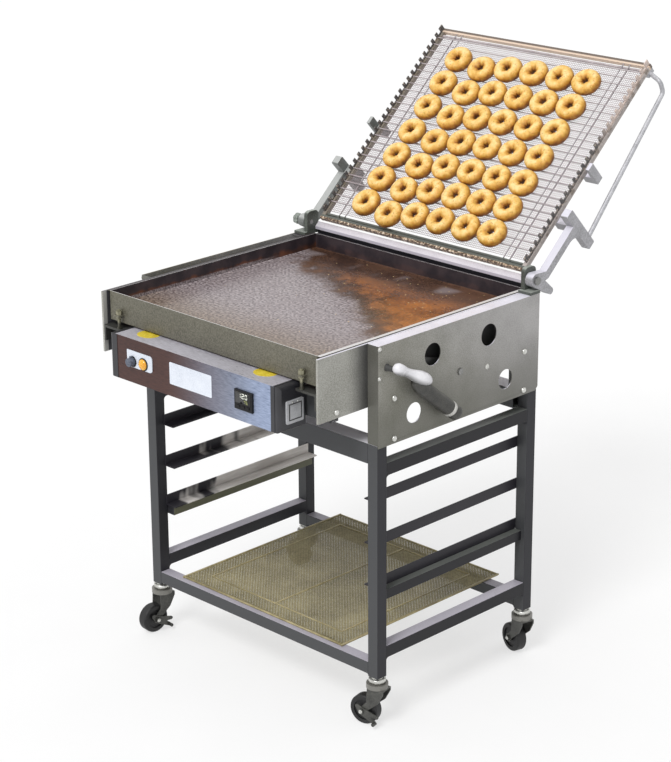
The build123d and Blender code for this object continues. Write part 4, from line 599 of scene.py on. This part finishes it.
def donut_rows(x, s):
    """Rings of one uneven donut; notes how dark each point is: fried colour with painted light and shade."""
    seed = Vector((dice.uniform(0, 90), dice.uniform(0, 90), dice.uniform(0, 90)))
    turn, lobes, pinch = dice.uniform(0, 6.28), dice.choice((5, 6, 7)), dice.uniform(0.9, 2.2)
    wide, deep = dice.uniform(1.02, 1.075), dice.uniform(0.97, 1.0)
    rows = []
    for i in range(DONUT_AROUND):
        u = FULL_TURN * i / DONUT_AROUND
        lump = noise.noise(seed + Vector((math.cos(u), math.sin(u), 0)) * 1.1)
        row = []
        for k in reversed(range(DONUT_SECTION)):
            v = FULL_TURN * k / DONUT_SECTION
            out, up = math.cos(v), math.sin(v)
            inner = max(0.0, -out)
            ripple = noise.noise(seed + Vector((math.cos(u) * 2.6, math.sin(u) * 2.6, v)))
            far = DONUT_RING + DONUT_TUBE * (1 + 0.05 * lump + 0.035 * ripple) * out
            far += pinch * inner * math.cos(lobes * (u + turn))
            height = DONUT_HALF_HEIGHT * (abs(up) ** 0.8) * (1 if up > 0 else -1) * (1 - 0.06 * abs(lump))
            crease = math.exp(-((v - CREASE_AT) / CREASE_WIDTH) ** 2) * max(0.0, 0.5 + ripple)
            height -= CREASE_DEPTH * crease
            height = max(-DONUT_HALF_HEIGHT, min(DONUT_HALF_HEIGHT - 0.1, height))
            row.append((x + far * math.cos(u) * wide, s + far * math.sin(u) * deep,
                        DONUT_REST + DONUT_HALF_HEIGHT + height))
            # Fried colour with painted light and shade: paler on top, painted shade on the lower right outer
            # side, in the hole and in the crease
            lower_right_shade = max(0.0, out) * (0.6 * math.cos(u) - 0.8 * math.sin(u))
            under = 1.3 * max(0.0, -up - 0.55)
            crusts.append(0.6 - 0.5 * up - under + 0.14 * lower_right_shade + 0.34 * inner ** 2
                          + 0.3 * crease + 0.16 * lump)
        rows.append(row)
    return rows


donuts = Shape(RACK)
for x, drop in zip(DONUT_COLUMNS, DONUT_DROP):
    for s in DONUT_ROWS:
        donuts.rings(donut_rows(x, s + drop), loop=True)
donut_piece = donuts.make("donut_rings", "rack", dough)
crust_layer = donut_piece.data.attributes.new("crust", "FLOAT", "POINT")
crust_layer.data.foreach_set("value", crusts)
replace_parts(donut_piece, "donuts")

# Fine wire cloth under the donuts, held between the side rails
CLOTH_PITCH, CLOTH_RADIUS = 5.6, 0.6
CLOTH_ACROSS, CLOTH_EACH_SIDE = 107, 60
CLOTH_FIRST, CLOTH_ENDS = 7, (6, 602)
CLOTH_HIGH, CLOTH_LOW = 2.3, 1.5
net = Shape(RACK)
for k in range(CLOTH_ACROSS):
    s = CLOTH_FIRST + k * CLOTH_PITCH
    net.wire([(-RAIL_IN, s, CLOTH_HIGH), (RAIL_IN, s, CLOTH_HIGH)], CLOTH_RADIUS)
for k in range(-CLOTH_EACH_SIDE, CLOTH_EACH_SIDE + 1):
    net.wire([(k * CLOTH_PITCH, s, CLOTH_LOW) for s in CLOTH_ENDS], CLOTH_RADIUS)
net.make("rack_cloth", "rack", cloth)

# Icing: a closed body with a slightly uneven top that climbs the walls
ICING_X, ICING_Y = 360.7, (-428.7, 281.7)
ICING_TOP, ICING_LOW = 940.0, 909.0
CLIMB, CLIMB_REACH = 2.4, 2.5
CELLS = 70
surface = Shape()
for j in range(CELLS + 1):
    for i in range(CELLS + 1):
        x = -ICING_X + 2 * ICING_X * (0.5 - 0.5 * math.cos(math.pi * i / CELLS))
        y = ICING_Y[0] + (ICING_Y[1] - ICING_Y[0]) * (0.5 - 0.5 * math.cos(math.pi * j / CELLS))
        to_wall = min(ICING_X - abs(x), y - ICING_Y[0], ICING_Y[1] - y)
        swell = (0.22 * noise.noise(Vector((x * 0.012, y * 0.012, 1)))
                 + 0.1 * noise.noise(Vector((x * 0.05, y * 0.05, 4))))
        surface.verts.append(Vector((x, y, ICING_TOP + swell + CLIMB * math.exp(-to_wall / CLIMB_REACH))))
row = CELLS + 1
for j in range(CELLS):
    for i in range(CELLS):
        a = j * row + i
        surface.faces.append((a, a + 1, a + row + 1, a + row))
rim = (list(range(row)) + [j * row + CELLS for j in range(1, row)]
       + [CELLS * row + i for i in reversed(range(CELLS))] + [j * row for j in reversed(range(1, CELLS))])
low = len(surface.verts)
surface.verts += [Vector((surface.verts[k].x, surface.verts[k].y, ICING_LOW)) for k in rim]
for k in range(len(rim)):
    n = (k + 1) % len(rim)
    surface.faces.append((rim[n], rim[k], low + k, low + n))
surface.faces.append(tuple(low + k for k in reversed(range(len(rim)))))
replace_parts(surface.make("icing_pool", "tank", icing), "icing")

# Crumbs that fell on the icing, most of them near its back right corner
CRUMBS, CRUMB_CORNER, CRUMB_SPREAD, CRUMB_LIMIT = 90, (350, 270), (260, 220), (-350, -420)
crumbs = Shape()
dice = random.Random(11)
for k in range(CRUMBS):
    x, y = (at - abs(dice.gauss(0, wide)) for at, wide in zip(CRUMB_CORNER, CRUMB_SPREAD))
    if x < CRUMB_LIMIT[0] or y < CRUMB_LIMIT[1]:
        continue
    r = dice.uniform(0.7, 2.3)
    crumbs.lathe((x, y, ICING_TOP - 0.3), (0, 0, 1), [(0, r), (0.35, r * 0.95), (0.6, r * 0.6), (0.7, 0)], 7)
crumbs.make("icing_crumbs", "tank", crumb)

# Spare screen: wire rim, frame bars and woven cloth
SCREEN_PLACE, SCREEN_HALF = Matrix.Translation((-16.0, 22.0, 169.75)), 292.0
WEAVE, WEAVE_WIRE, WEAVE_MIDDLE, WEAVE_SWAY = 116, 1.0, 2.3, 0.95
WEAVE_HALF = SCREEN_HALF - 5
grate = Shape(SCREEN_PLACE)
pitch = 2 * WEAVE_HALF / WEAVE
for k in range(1, WEAVE):
    fixed = -WEAVE_HALF + k * pitch
    steps = [(-WEAVE_HALF + n * pitch, WEAVE_SWAY * (1 if (n + k) % 2 else -1)) for n in range(WEAVE + 1)]
    grate.wire([(d, fixed, WEAVE_MIDDLE + sway) for d, sway in steps], WEAVE_WIRE)
    grate.wire([(fixed, d, WEAVE_MIDDLE - sway) for d, sway in steps], WEAVE_WIRE)
RIM, RIM_Z, RIM_RADII = SCREEN_HALF - 3, 3, (3.0, 2.9)
BAR, BAR_Z, BAR_RADII, MIDDLE_BAR_Z = SCREEN_HALF - 54.5, 3.6, (2.2, 2.1), 3.7
bars = Shape(SCREEN_PLACE)
for i in SIDES:
    bars.wire([(i * RIM, -SCREEN_HALF, RIM_Z), (i * RIM, SCREEN_HALF, RIM_Z)], RIM_RADII[0], 10)
    bars.wire([(-RIM, i * RIM, RIM_Z), (RIM, i * RIM, RIM_Z)], RIM_RADII[1], 10)
    bars.wire([(i * BAR, -BAR, BAR_Z), (i * BAR, BAR, BAR_Z)], BAR_RADII[0], 8)
    bars.wire([(-BAR, i * BAR, BAR_Z), (BAR, i * BAR, BAR_Z)], BAR_RADII[1], 8)
bars.wire([(0, -BAR, MIDDLE_BAR_Z), (0, BAR, MIDDLE_BAR_Z)], BAR_RADII[0], 8)
bars.make("screen_bars", "screen", screen_bar)
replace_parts(grate.make("woven_screen", "screen", screen_wire), "shelf_screen")

# Lift lever: turned arm skin over the solid arm, axle with crank, and a ribbed grip with an end ring
LEVER_X, LEVER_Y, LEVER_Z = 439.5, -256.0, 921.0
ARM_WAY, ARM_SHIFT = (105.0, -56.0), Vector((5, 1.5, 4))
ARM_PROFILE = [
    (-11, 0), (-10.4, 4.4), (-8, 9), (-4, 12.2), (2, 14), (9, 14.4), (17, 13.4), (27, 11.8), (38, 11.2),
    (50, 11.8), (62, 13.6), (75, 15.8), (88, 17.2), (100, 17.2), (110, 15.6), (118, 12.6), (124, 8.4),
    (127, 4), (128, 0),
]
hub = Vector((LEVER_X, LEVER_Y, LEVER_Z))
arm = Shape()
arm.lathe(hub + ARM_SHIFT, Vector((0, *ARM_WAY)), ARM_PROFILE, 32)
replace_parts(arm.make("lever_arm", "lever", lever_white), "lever")

AXLE_X, CRANK_PIN_X = 372.3, 387.5
CRANK_X, CRANK_REACH, CRANK_TURN, CRANK_EDGE = (397.0, 405.0), 25.0, math.radians(31.3), 0.6
CRANK_HUB, CRANK_END = 14, 9
crank_cos, crank_sin = math.cos(CRANK_TURN), math.sin(CRANK_TURN)


def arc(middle, radius, start, step, count):
    """Points of an arc about a place on the crank's middle line, angles in degrees."""
    angles = [math.radians(start + step * k) for k in range(count)]
    return [(middle + radius * math.cos(t), radius * math.sin(t)) for t in angles]


axle = Shape()
axle.lathe((AXLE_X, LEVER_Y, LEVER_Z), (1, 0, 0), [(0, 0), (0, 9), (40, 9), (40.6, 7), (64, 6.8), (64, 0)], 28)
crank_rows = []
for x, inset in ((CRANK_X[0], CRANK_EDGE), (CRANK_X[0] + CRANK_EDGE, 0),
                 (CRANK_X[1] - CRANK_EDGE, 0), (CRANK_X[1], CRANK_EDGE)):
    outline = arc(0, CRANK_HUB - inset, 78, 12, 18) + arc(CRANK_REACH, CRANK_END - inset, -78, 13, 13)
    crank_rows.append([
        (x, LEVER_Y + crank_cos * u - crank_sin * v, LEVER_Z + crank_sin * u + crank_cos * v)
        for u, v in outline
    ])
axle.rings(crank_rows)
axle.lathe((CRANK_PIN_X, LEVER_Y + CRANK_REACH * crank_cos, LEVER_Z + CRANK_REACH * crank_sin), (1, 0, 0),
           [(0, 0), (0, 3.4), (0.6, 4), (9.6, 4), (9.6, 0)], 18)
axle.make("lever_axle", "lever", posts)

GRIP_FROM, GRIP_TO = (58.0, -42.0), (211.0, -161.0)
RING_BACK, RING_FRONT = 36.0, 25.0
RIB_FROM, RIB_PITCH = 44.0, 3.5
grip_start = hub + Vector((0, *GRIP_FROM))
grip_axis = Vector((0, GRIP_TO[0] - GRIP_FROM[0], GRIP_TO[1] - GRIP_FROM[1]))
grip_end = grip_axis.length
ring_from, ring_to = grip_end - RING_BACK, grip_end - RING_FRONT
profile = [(2, 0), (2, 7), (8, 11), (20, 15.4), (34, 18.4), (42, 19.2)]
d = RIB_FROM
while d < ring_from - 4:
    profile += [(d, 19.4), (d + 1.7, 19.5), (d + 2.1, 18.9), (d + 3.1, 18.9)]
    d += RIB_PITCH
profile += [(d, 19.3), (ring_from, 18.8), (ring_from, 0)]
grip = Shape()
grip.lathe(grip_start, grip_axis, profile, 32)
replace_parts(grip.make("ribbed_grip", "lever", rubber), "lever_grip")
ring = Shape()
ring.lathe(grip_start, grip_axis, [
    (ring_from - 0.2, 0), (ring_from, 18.9), (ring_from + 1, 19.7),
    (ring_to - 1, 19.7), (ring_to, 18.9), (ring_to + 0.2, 0),
], 32)
ring.make("grip_ring", "lever", ferrule)
plug = Shape()
plug.lathe(grip_start, grip_axis, [
    (ring_to - 0.2, 0), (ring_to, 18.8), (grip_end - 4, 19), (grip_end - 1.2, 18), (grip_end - 0.3, 16.4),
    (grip_end - 0.6, 13.4), (grip_end - 8, 12.8), (grip_end - 8.6, 0),
], 32)
plug.make("grip_plug", "lever", rubber)

# Small screws that the plates carry beside the main bolts: Y, Z and radius
PLATE_SCREWS, PLATE_FACE_X = ((-281.0, 899.0, 4.2), (-280.0, 970.0, 4.6), (95.0, 835.5, 5.2)), 412.4
screws = Shape()
for side in SIDES:
    for y, z, r in PLATE_SCREWS:
        screws.lathe((side * PLATE_FACE_X, y, z), (side, 0, 0), [
            (0, r * 1.35), (0.9, r * 1.35), (1.1, r), (2.6, r * 0.95), (3.6, r * 0.7), (4, 0),
        ], 18)
screws.make("plate_screws", "cart", zinc)

# Panel details: ovals on the box top, display, lamp, collars, box lips and cover frame
OVALS, OVAL_Z, OVAL_X, OVAL_Y, OVAL_SIDES = ((-211.6, -438.3), (196.2, -435.0)), 901.9, 31, 27, 40
ovals = Shape()
for x, y in OVALS:
    ovals.rings([
        [(x + OVAL_X * grow * math.cos(t), y + OVAL_Y * grow * math.sin(t), OVAL_Z + lift)
         for t in (FULL_TURN * k / OVAL_SIDES for k in range(OVAL_SIDES))]
        for grow, lift in ((1.0, 0.0), (1.0, 0.35), (0.97, 0.5))
    ])
ovals.make("top_ovals", "cart", yellow)

FACE_Y, DISPLAY_X, DISPLAY_Z = -496.0, 183.0, 844.0
FIGURE_Y, FIGURE_GAP, FIGURE_STEP = (FACE_Y - 0.75, FACE_Y - 0.4), 0.05, 1.45
SEGMENTS = {"0": "abcdef", "1": "bc", "2": "abged", "5": "afgcd", "7": "abc"}
pane = Shape()
pane.block((DISPLAY_X - 25, DISPLAY_X + 25), (FACE_Y - 0.5, FACE_Y + 0.3), (DISPLAY_Z - 7.5, DISPLAY_Z + 20))
pane.make("display_pane", "cart", glass)


def figures(shape, text, x, z, w, h, stroke):
    """Seven-segment figures on the display's face."""
    low, high = (z + stroke, z + (h - stroke) / 2), (z + (h + stroke) / 2, z + h - stroke)
    for k, digit in enumerate(text):
        left = x + k * w * FIGURE_STEP
        across, west, east = (left, left + w), (left, left + stroke), (left + w - stroke, left + w)
        strokes = {
            "a": (across, (z + h - stroke, z + h)),
            "g": (across, (z + h / 2 - stroke / 2, z + h / 2 + stroke / 2)),
            "d": (across, (z, z + stroke)),
            "f": (west, high), "b": (east, high), "e": (west, low), "c": (east, low),
        }
        for name in SEGMENTS[digit]:
            wide, (foot, head) = strokes[name]
            shape.block(wide, FIGURE_Y, (foot + FIGURE_GAP, head - FIGURE_GAP))


bright = Shape()
figures(bright, "120", DISPLAY_X - 14.5, DISPLAY_Z + 5.2, 7.4, 12.5, 1.7)
bright.make("display_figures", "cart", ink, smooth=False)
faint = Shape()
figures(faint, "75", DISPLAY_X + 3, DISPLAY_Z - 6, 5, 8, 1.1)
faint.make("display_set_figures", "cart", dim_ink, smooth=False)

PLATE_Y = -491.8
LAMP, KNOB = (-172.5, PLATE_Y, 847.0), (-212.0, PLATE_Y, 846.0)
FORWARD = (0, -1, 0)
dome = Shape()
dome.lathe(LAMP, FORWARD, [
    (0, 13.8), (3.2, 13.8), (4.6, 13), (6.4, 11), (7.8, 7.8), (8.6, 3.8), (8.8, 0),
], 28)
dome.make("lamp_dome", "cart", amber)
collars = Shape()
collars.lathe(LAMP, FORWARD, [
    (0, 0), (0, 16.4), (1.6, 16.4), (2.4, 15.4), (2.4, 13), (1.4, 13), (1.4, 0),
], 30)
collars.lathe(KNOB, FORWARD, [
    (0, 0), (0, 14.2), (1.1, 14.2), (1.5, 13.6), (1.5, 4), (0.3, 4), (0.3, 0),
], 30)
collars.make("panel_collars", "cart", black)

BOX_HALF, BOX_Y, BOX_Z = 282.0, (-490.0, -400.0), (790.0, 902.0)
lips = Shape()
for i in SIDES:
    end = i * (BOX_HALF + 0.4)
    lips.block((i * (BOX_HALF - 12), end), (BOX_Y[0] - 0.9, BOX_Y[0] + 0.4), (BOX_Z[0] + 0.3, BOX_Z[1] - 0.3))
    lips.block((i * (BOX_HALF - 5), end), (BOX_Y[0] + 0.4, BOX_Y[1] - 1), (BOX_Z[1] - 0.3, BOX_Z[1] + 0.7))
lips.make("box_lips", "cart", caps, smooth=False)

COVER_X, COVER_Y, COVER_Z = 301.0, -442.5, 836.0
LINE_AT, LINE_HALF, LINE_X = 19, 1.2, (COVER_X - 0.4, COVER_X + 0.9)
frame_lines = Shape()
for i in SIDES:
    y, z = COVER_Y + i * LINE_AT, COVER_Z + i * LINE_AT
    frame_lines.block(LINE_X, (y - LINE_HALF, y + LINE_HALF), (COVER_Z - 17.8, COVER_Z + 17.8))
    frame_lines.block(LINE_X, (COVER_Y - 20.2, COVER_Y + 20.2), (z - LINE_HALF, z + LINE_HALF))
frame_lines.make("cover_frame", "cart", posts, smooth=False)
cover_screws = Shape()
for i in SIDES:
    cover_screws.lathe((COVER_X - 0.2, COVER_Y + i * 8, COVER_Z + 23.4), (1, 0, 0),
                       [(0, 2.6), (0.8, 2.5), (1.3, 1.8), (1.5, 0)], 14)
cover_screws.make("cover_screws", "cart", zinc)

# Collars under the legs and axle ends; casters by side, end, swivel angle and reach of the outer axle end
STEM_X, STEM_Y, COLLAR_Z = 394.125, 269.125, 118.5
AXLE_TRAIL, AXLE_HEIGHT, FORK_HALF = 32, 38, 23.0
CASTERS = {
    "front_left": (-1, -1, 265.0, 26.6), "front_right": (1, -1, 192.0, 26.6),
    "rear_left": (-1, 1, 180.0, FORK_HALF), "rear_right": (1, 1, 165.0, FORK_HALF),
}
leg_collars = Shape()
for i in SIDES:
    for j in SIDES:
        leg_collars.lathe((i * STEM_X, j * STEM_Y, COLLAR_Z), (0, 0, 1), [
            (0, 14), (0, 20.4), (0.8, 21.4), (8.5, 21.4), (9.6, 20.4), (10.4, 18), (11.5, 14),
        ], 32)
leg_collars.make("caster_collars", "cart", zinc)
for corner, (i, j, angle, outer) in CASTERS.items():
    nuts = Shape(Matrix.Translation((i * STEM_X, j * STEM_Y, 0)) @ Matrix.Rotation(math.radians(angle), 4, "Z"))
    for side, end in ((1, outer), (-1, FORK_HALF)):
        nuts.lathe((AXLE_TRAIL, side * (end - 0.2), AXLE_HEIGHT), (0, side, 0),
                   [(0, 5.6), (0.5, 5.6), (1.6, 4.6), (1.8, 3.4), (3, 3), (3.4, 0)], 6)
    nuts.make("axle_ends_" + corner, "caster_" + corner, zinc, smooth=False)

# Weld beads under the rails, in the corners with the legs
LEG_IN_X, LEG_IN_Y = 378.25, 253.25
CROSS_FOOT, SIDE_FEET = 138.0, (180.0, 651.5)
BEAD_SPAN, SIDE_BEAD, CROSS_BEAD = (1, 30.7), 9, 5.5
DOWN = (0, 0, -1)
beads = Shape()


def bead(corner, u, v, way, size):
    """Concave corner bead: the corner line runs along way; u and v point along the two faces."""
    corner, u, v, way = Vector(corner), Vector(u), Vector(v), Vector(way)
    ring = [corner]
    for k in range(7):
        a = math.pi / 2 * k / 6
        ring.append(corner + u * size * (1 - math.sin(a)) + v * size * (1 - math.cos(a)))
    rows = [[p + way * t for p in ring] for t in BEAD_SPAN]
    if u.cross(v).dot(way) < 0:
        rows.reverse()
    beads.rings(rows)


for i in SIDES:
    for j in SIDES:
        for z in SIDE_FEET:
            bead((i * LEG_IN_X, j * LEG_IN_Y, z), (0, -j, 0), DOWN, (i, 0, 0), SIDE_BEAD)
        bead((i * LEG_IN_X, j * LEG_IN_Y, CROSS_FOOT), (-i, 0, 0), DOWN, (0, j, 0), CROSS_BEAD)
beads.make("weld_beads", "cart", paint)

# Plugs in the open ends of the flat tubes
TUBE_X, TUBE_Z = (355.2, 397.3), (328.7, 351.8)
plugs = Shape()
for i in SIDES:
    for j in SIDES:
        plugs.block((i * TUBE_X[0], i * TUBE_X[1]), (j * (LEG_IN_Y - 4), j * (LEG_IN_Y - 0.4)), TUBE_Z)
plugs.make("tube_plugs", "cart", caps, smooth=False)


# ---------------------------------------------------------------- floor, light and camera
FLOOR_SIZE, FLOOR_LIFT = 90, 0.62
bpy.ops.mesh.primitive_plane_add(size=FLOOR_SIZE, location=(0, 0, 0))
floor = bpy.context.object
floor.name = "floor"
ground = Look("floor_card", 0.9)
ground.paint(ground.tones(ground.noise(3, 2.0), tone(238, 238, 238), tone(242, 242, 242), 0.3, 0.7))
light_path = ground.node("ShaderNodeLightPath")
lift = ground.node("ShaderNodeEmission")
mixer = ground.node("ShaderNodeMixShader")
shown_white = ground.math("MAXIMUM", light_path.outputs["Is Camera Ray"], light_path.outputs["Is Glossy Ray"])
shown_white = ground.math("MAXIMUM", shown_white, light_path.outputs["Is Transmission Ray"])
ground.put(mixer.inputs[0], ground.times(shown_white, FLOOR_LIFT))
ground.put(mixer.inputs[1], ground.shader.outputs[0])
ground.put(mixer.inputs[2], lift.outputs[0])
ground.put(ground.tree.nodes["Material Output"].inputs["Surface"], mixer.outputs[0])
floor.data.materials.append(ground.mat)

# Sky: brighter from one side for the part, plain white for what is seen past it
SKY_FROM, SKY_DIM = (-0.42, -0.62, 0.66), 0.22
world = bpy.data.worlds.new("studio")
scene.world = world
world.use_nodes = True
air = world.node_tree
sky = air.nodes["Background"]
sky.inputs["Color"].default_value = (1, 1, 1, 1)
direction = air.nodes.new("ShaderNodeTexCoord").outputs["Generated"]
towards = air.nodes.new("ShaderNodeVectorMath")
towards.operation = "DOT_PRODUCT"
towards.inputs[1].default_value = SKY_FROM
air.links.new(direction, towards.inputs[0])
level = air.nodes.new("ShaderNodeMapRange")
for key, number in (("From Min", -1.0), ("From Max", 1.0), ("To Min", SKY_DIM), ("To Max", 1.0)):
    level.inputs[key].default_value = number
air.links.new(towards.outputs["Value"], level.inputs["Value"])
seen = air.nodes.new("ShaderNodeLightPath")
clear = air.nodes.new("ShaderNodeMix")
clear.inputs["B"].default_value = 1.0
plain = seen.outputs["Is Camera Ray"]
for kind in ("Is Glossy Ray", "Is Transmission Ray"):
    either = air.nodes.new("ShaderNodeMath")
    either.operation = "MAXIMUM"
    air.links.new(plain, either.inputs[0])
    air.links.new(seen.outputs[kind], either.inputs[1])
    plain = either.outputs[0]
air.links.new(plain, clear.inputs["Factor"])
air.links.new(level.outputs["Result"], clear.inputs["A"])
air.links.new(clear.outputs["Result"], sky.inputs["Strength"])

KEY_FROM, KEY_ENERGY, KEY_SPREAD = Vector((0.16, -0.62, 0.77)), 1.7, math.radians(20)
key = bpy.data.objects.new("key_light", bpy.data.lights.new("key_light", "SUN"))
key.data.energy = KEY_ENERGY
key.data.angle = KEY_SPREAD
key.rotation_euler = KEY_FROM.to_track_quat("Z", "Y").to_euler()
scene.collection.objects.link(key)

YAW, PITCH, ROLL = math.radians(44.88), math.radians(19.50), math.radians(0.37)
CAMERA_PLACE, LENS, SENSOR = (3.8061, -3.8317, 2.6342), 107.36, 36
forward = Vector((-math.sin(YAW) * math.cos(PITCH), math.cos(YAW) * math.cos(PITCH), -math.sin(PITCH)))
right = Vector((math.cos(YAW), math.sin(YAW), 0))
down = forward.cross(right)
across_frame = right * math.cos(ROLL) + down * math.sin(ROLL)
down_frame = down * math.cos(ROLL) - right * math.sin(ROLL)
camera = bpy.data.objects.new("camera", bpy.data.cameras.new("camera"))
camera.data.lens = LENS
camera.data.sensor_width = SENSOR
stand = Matrix((across_frame, -down_frame, -forward)).transposed().to_4x4()
stand.translation = CAMERA_PLACE
camera.matrix_world = stand
scene.collection.objects.link(camera)
scene.camera = camera
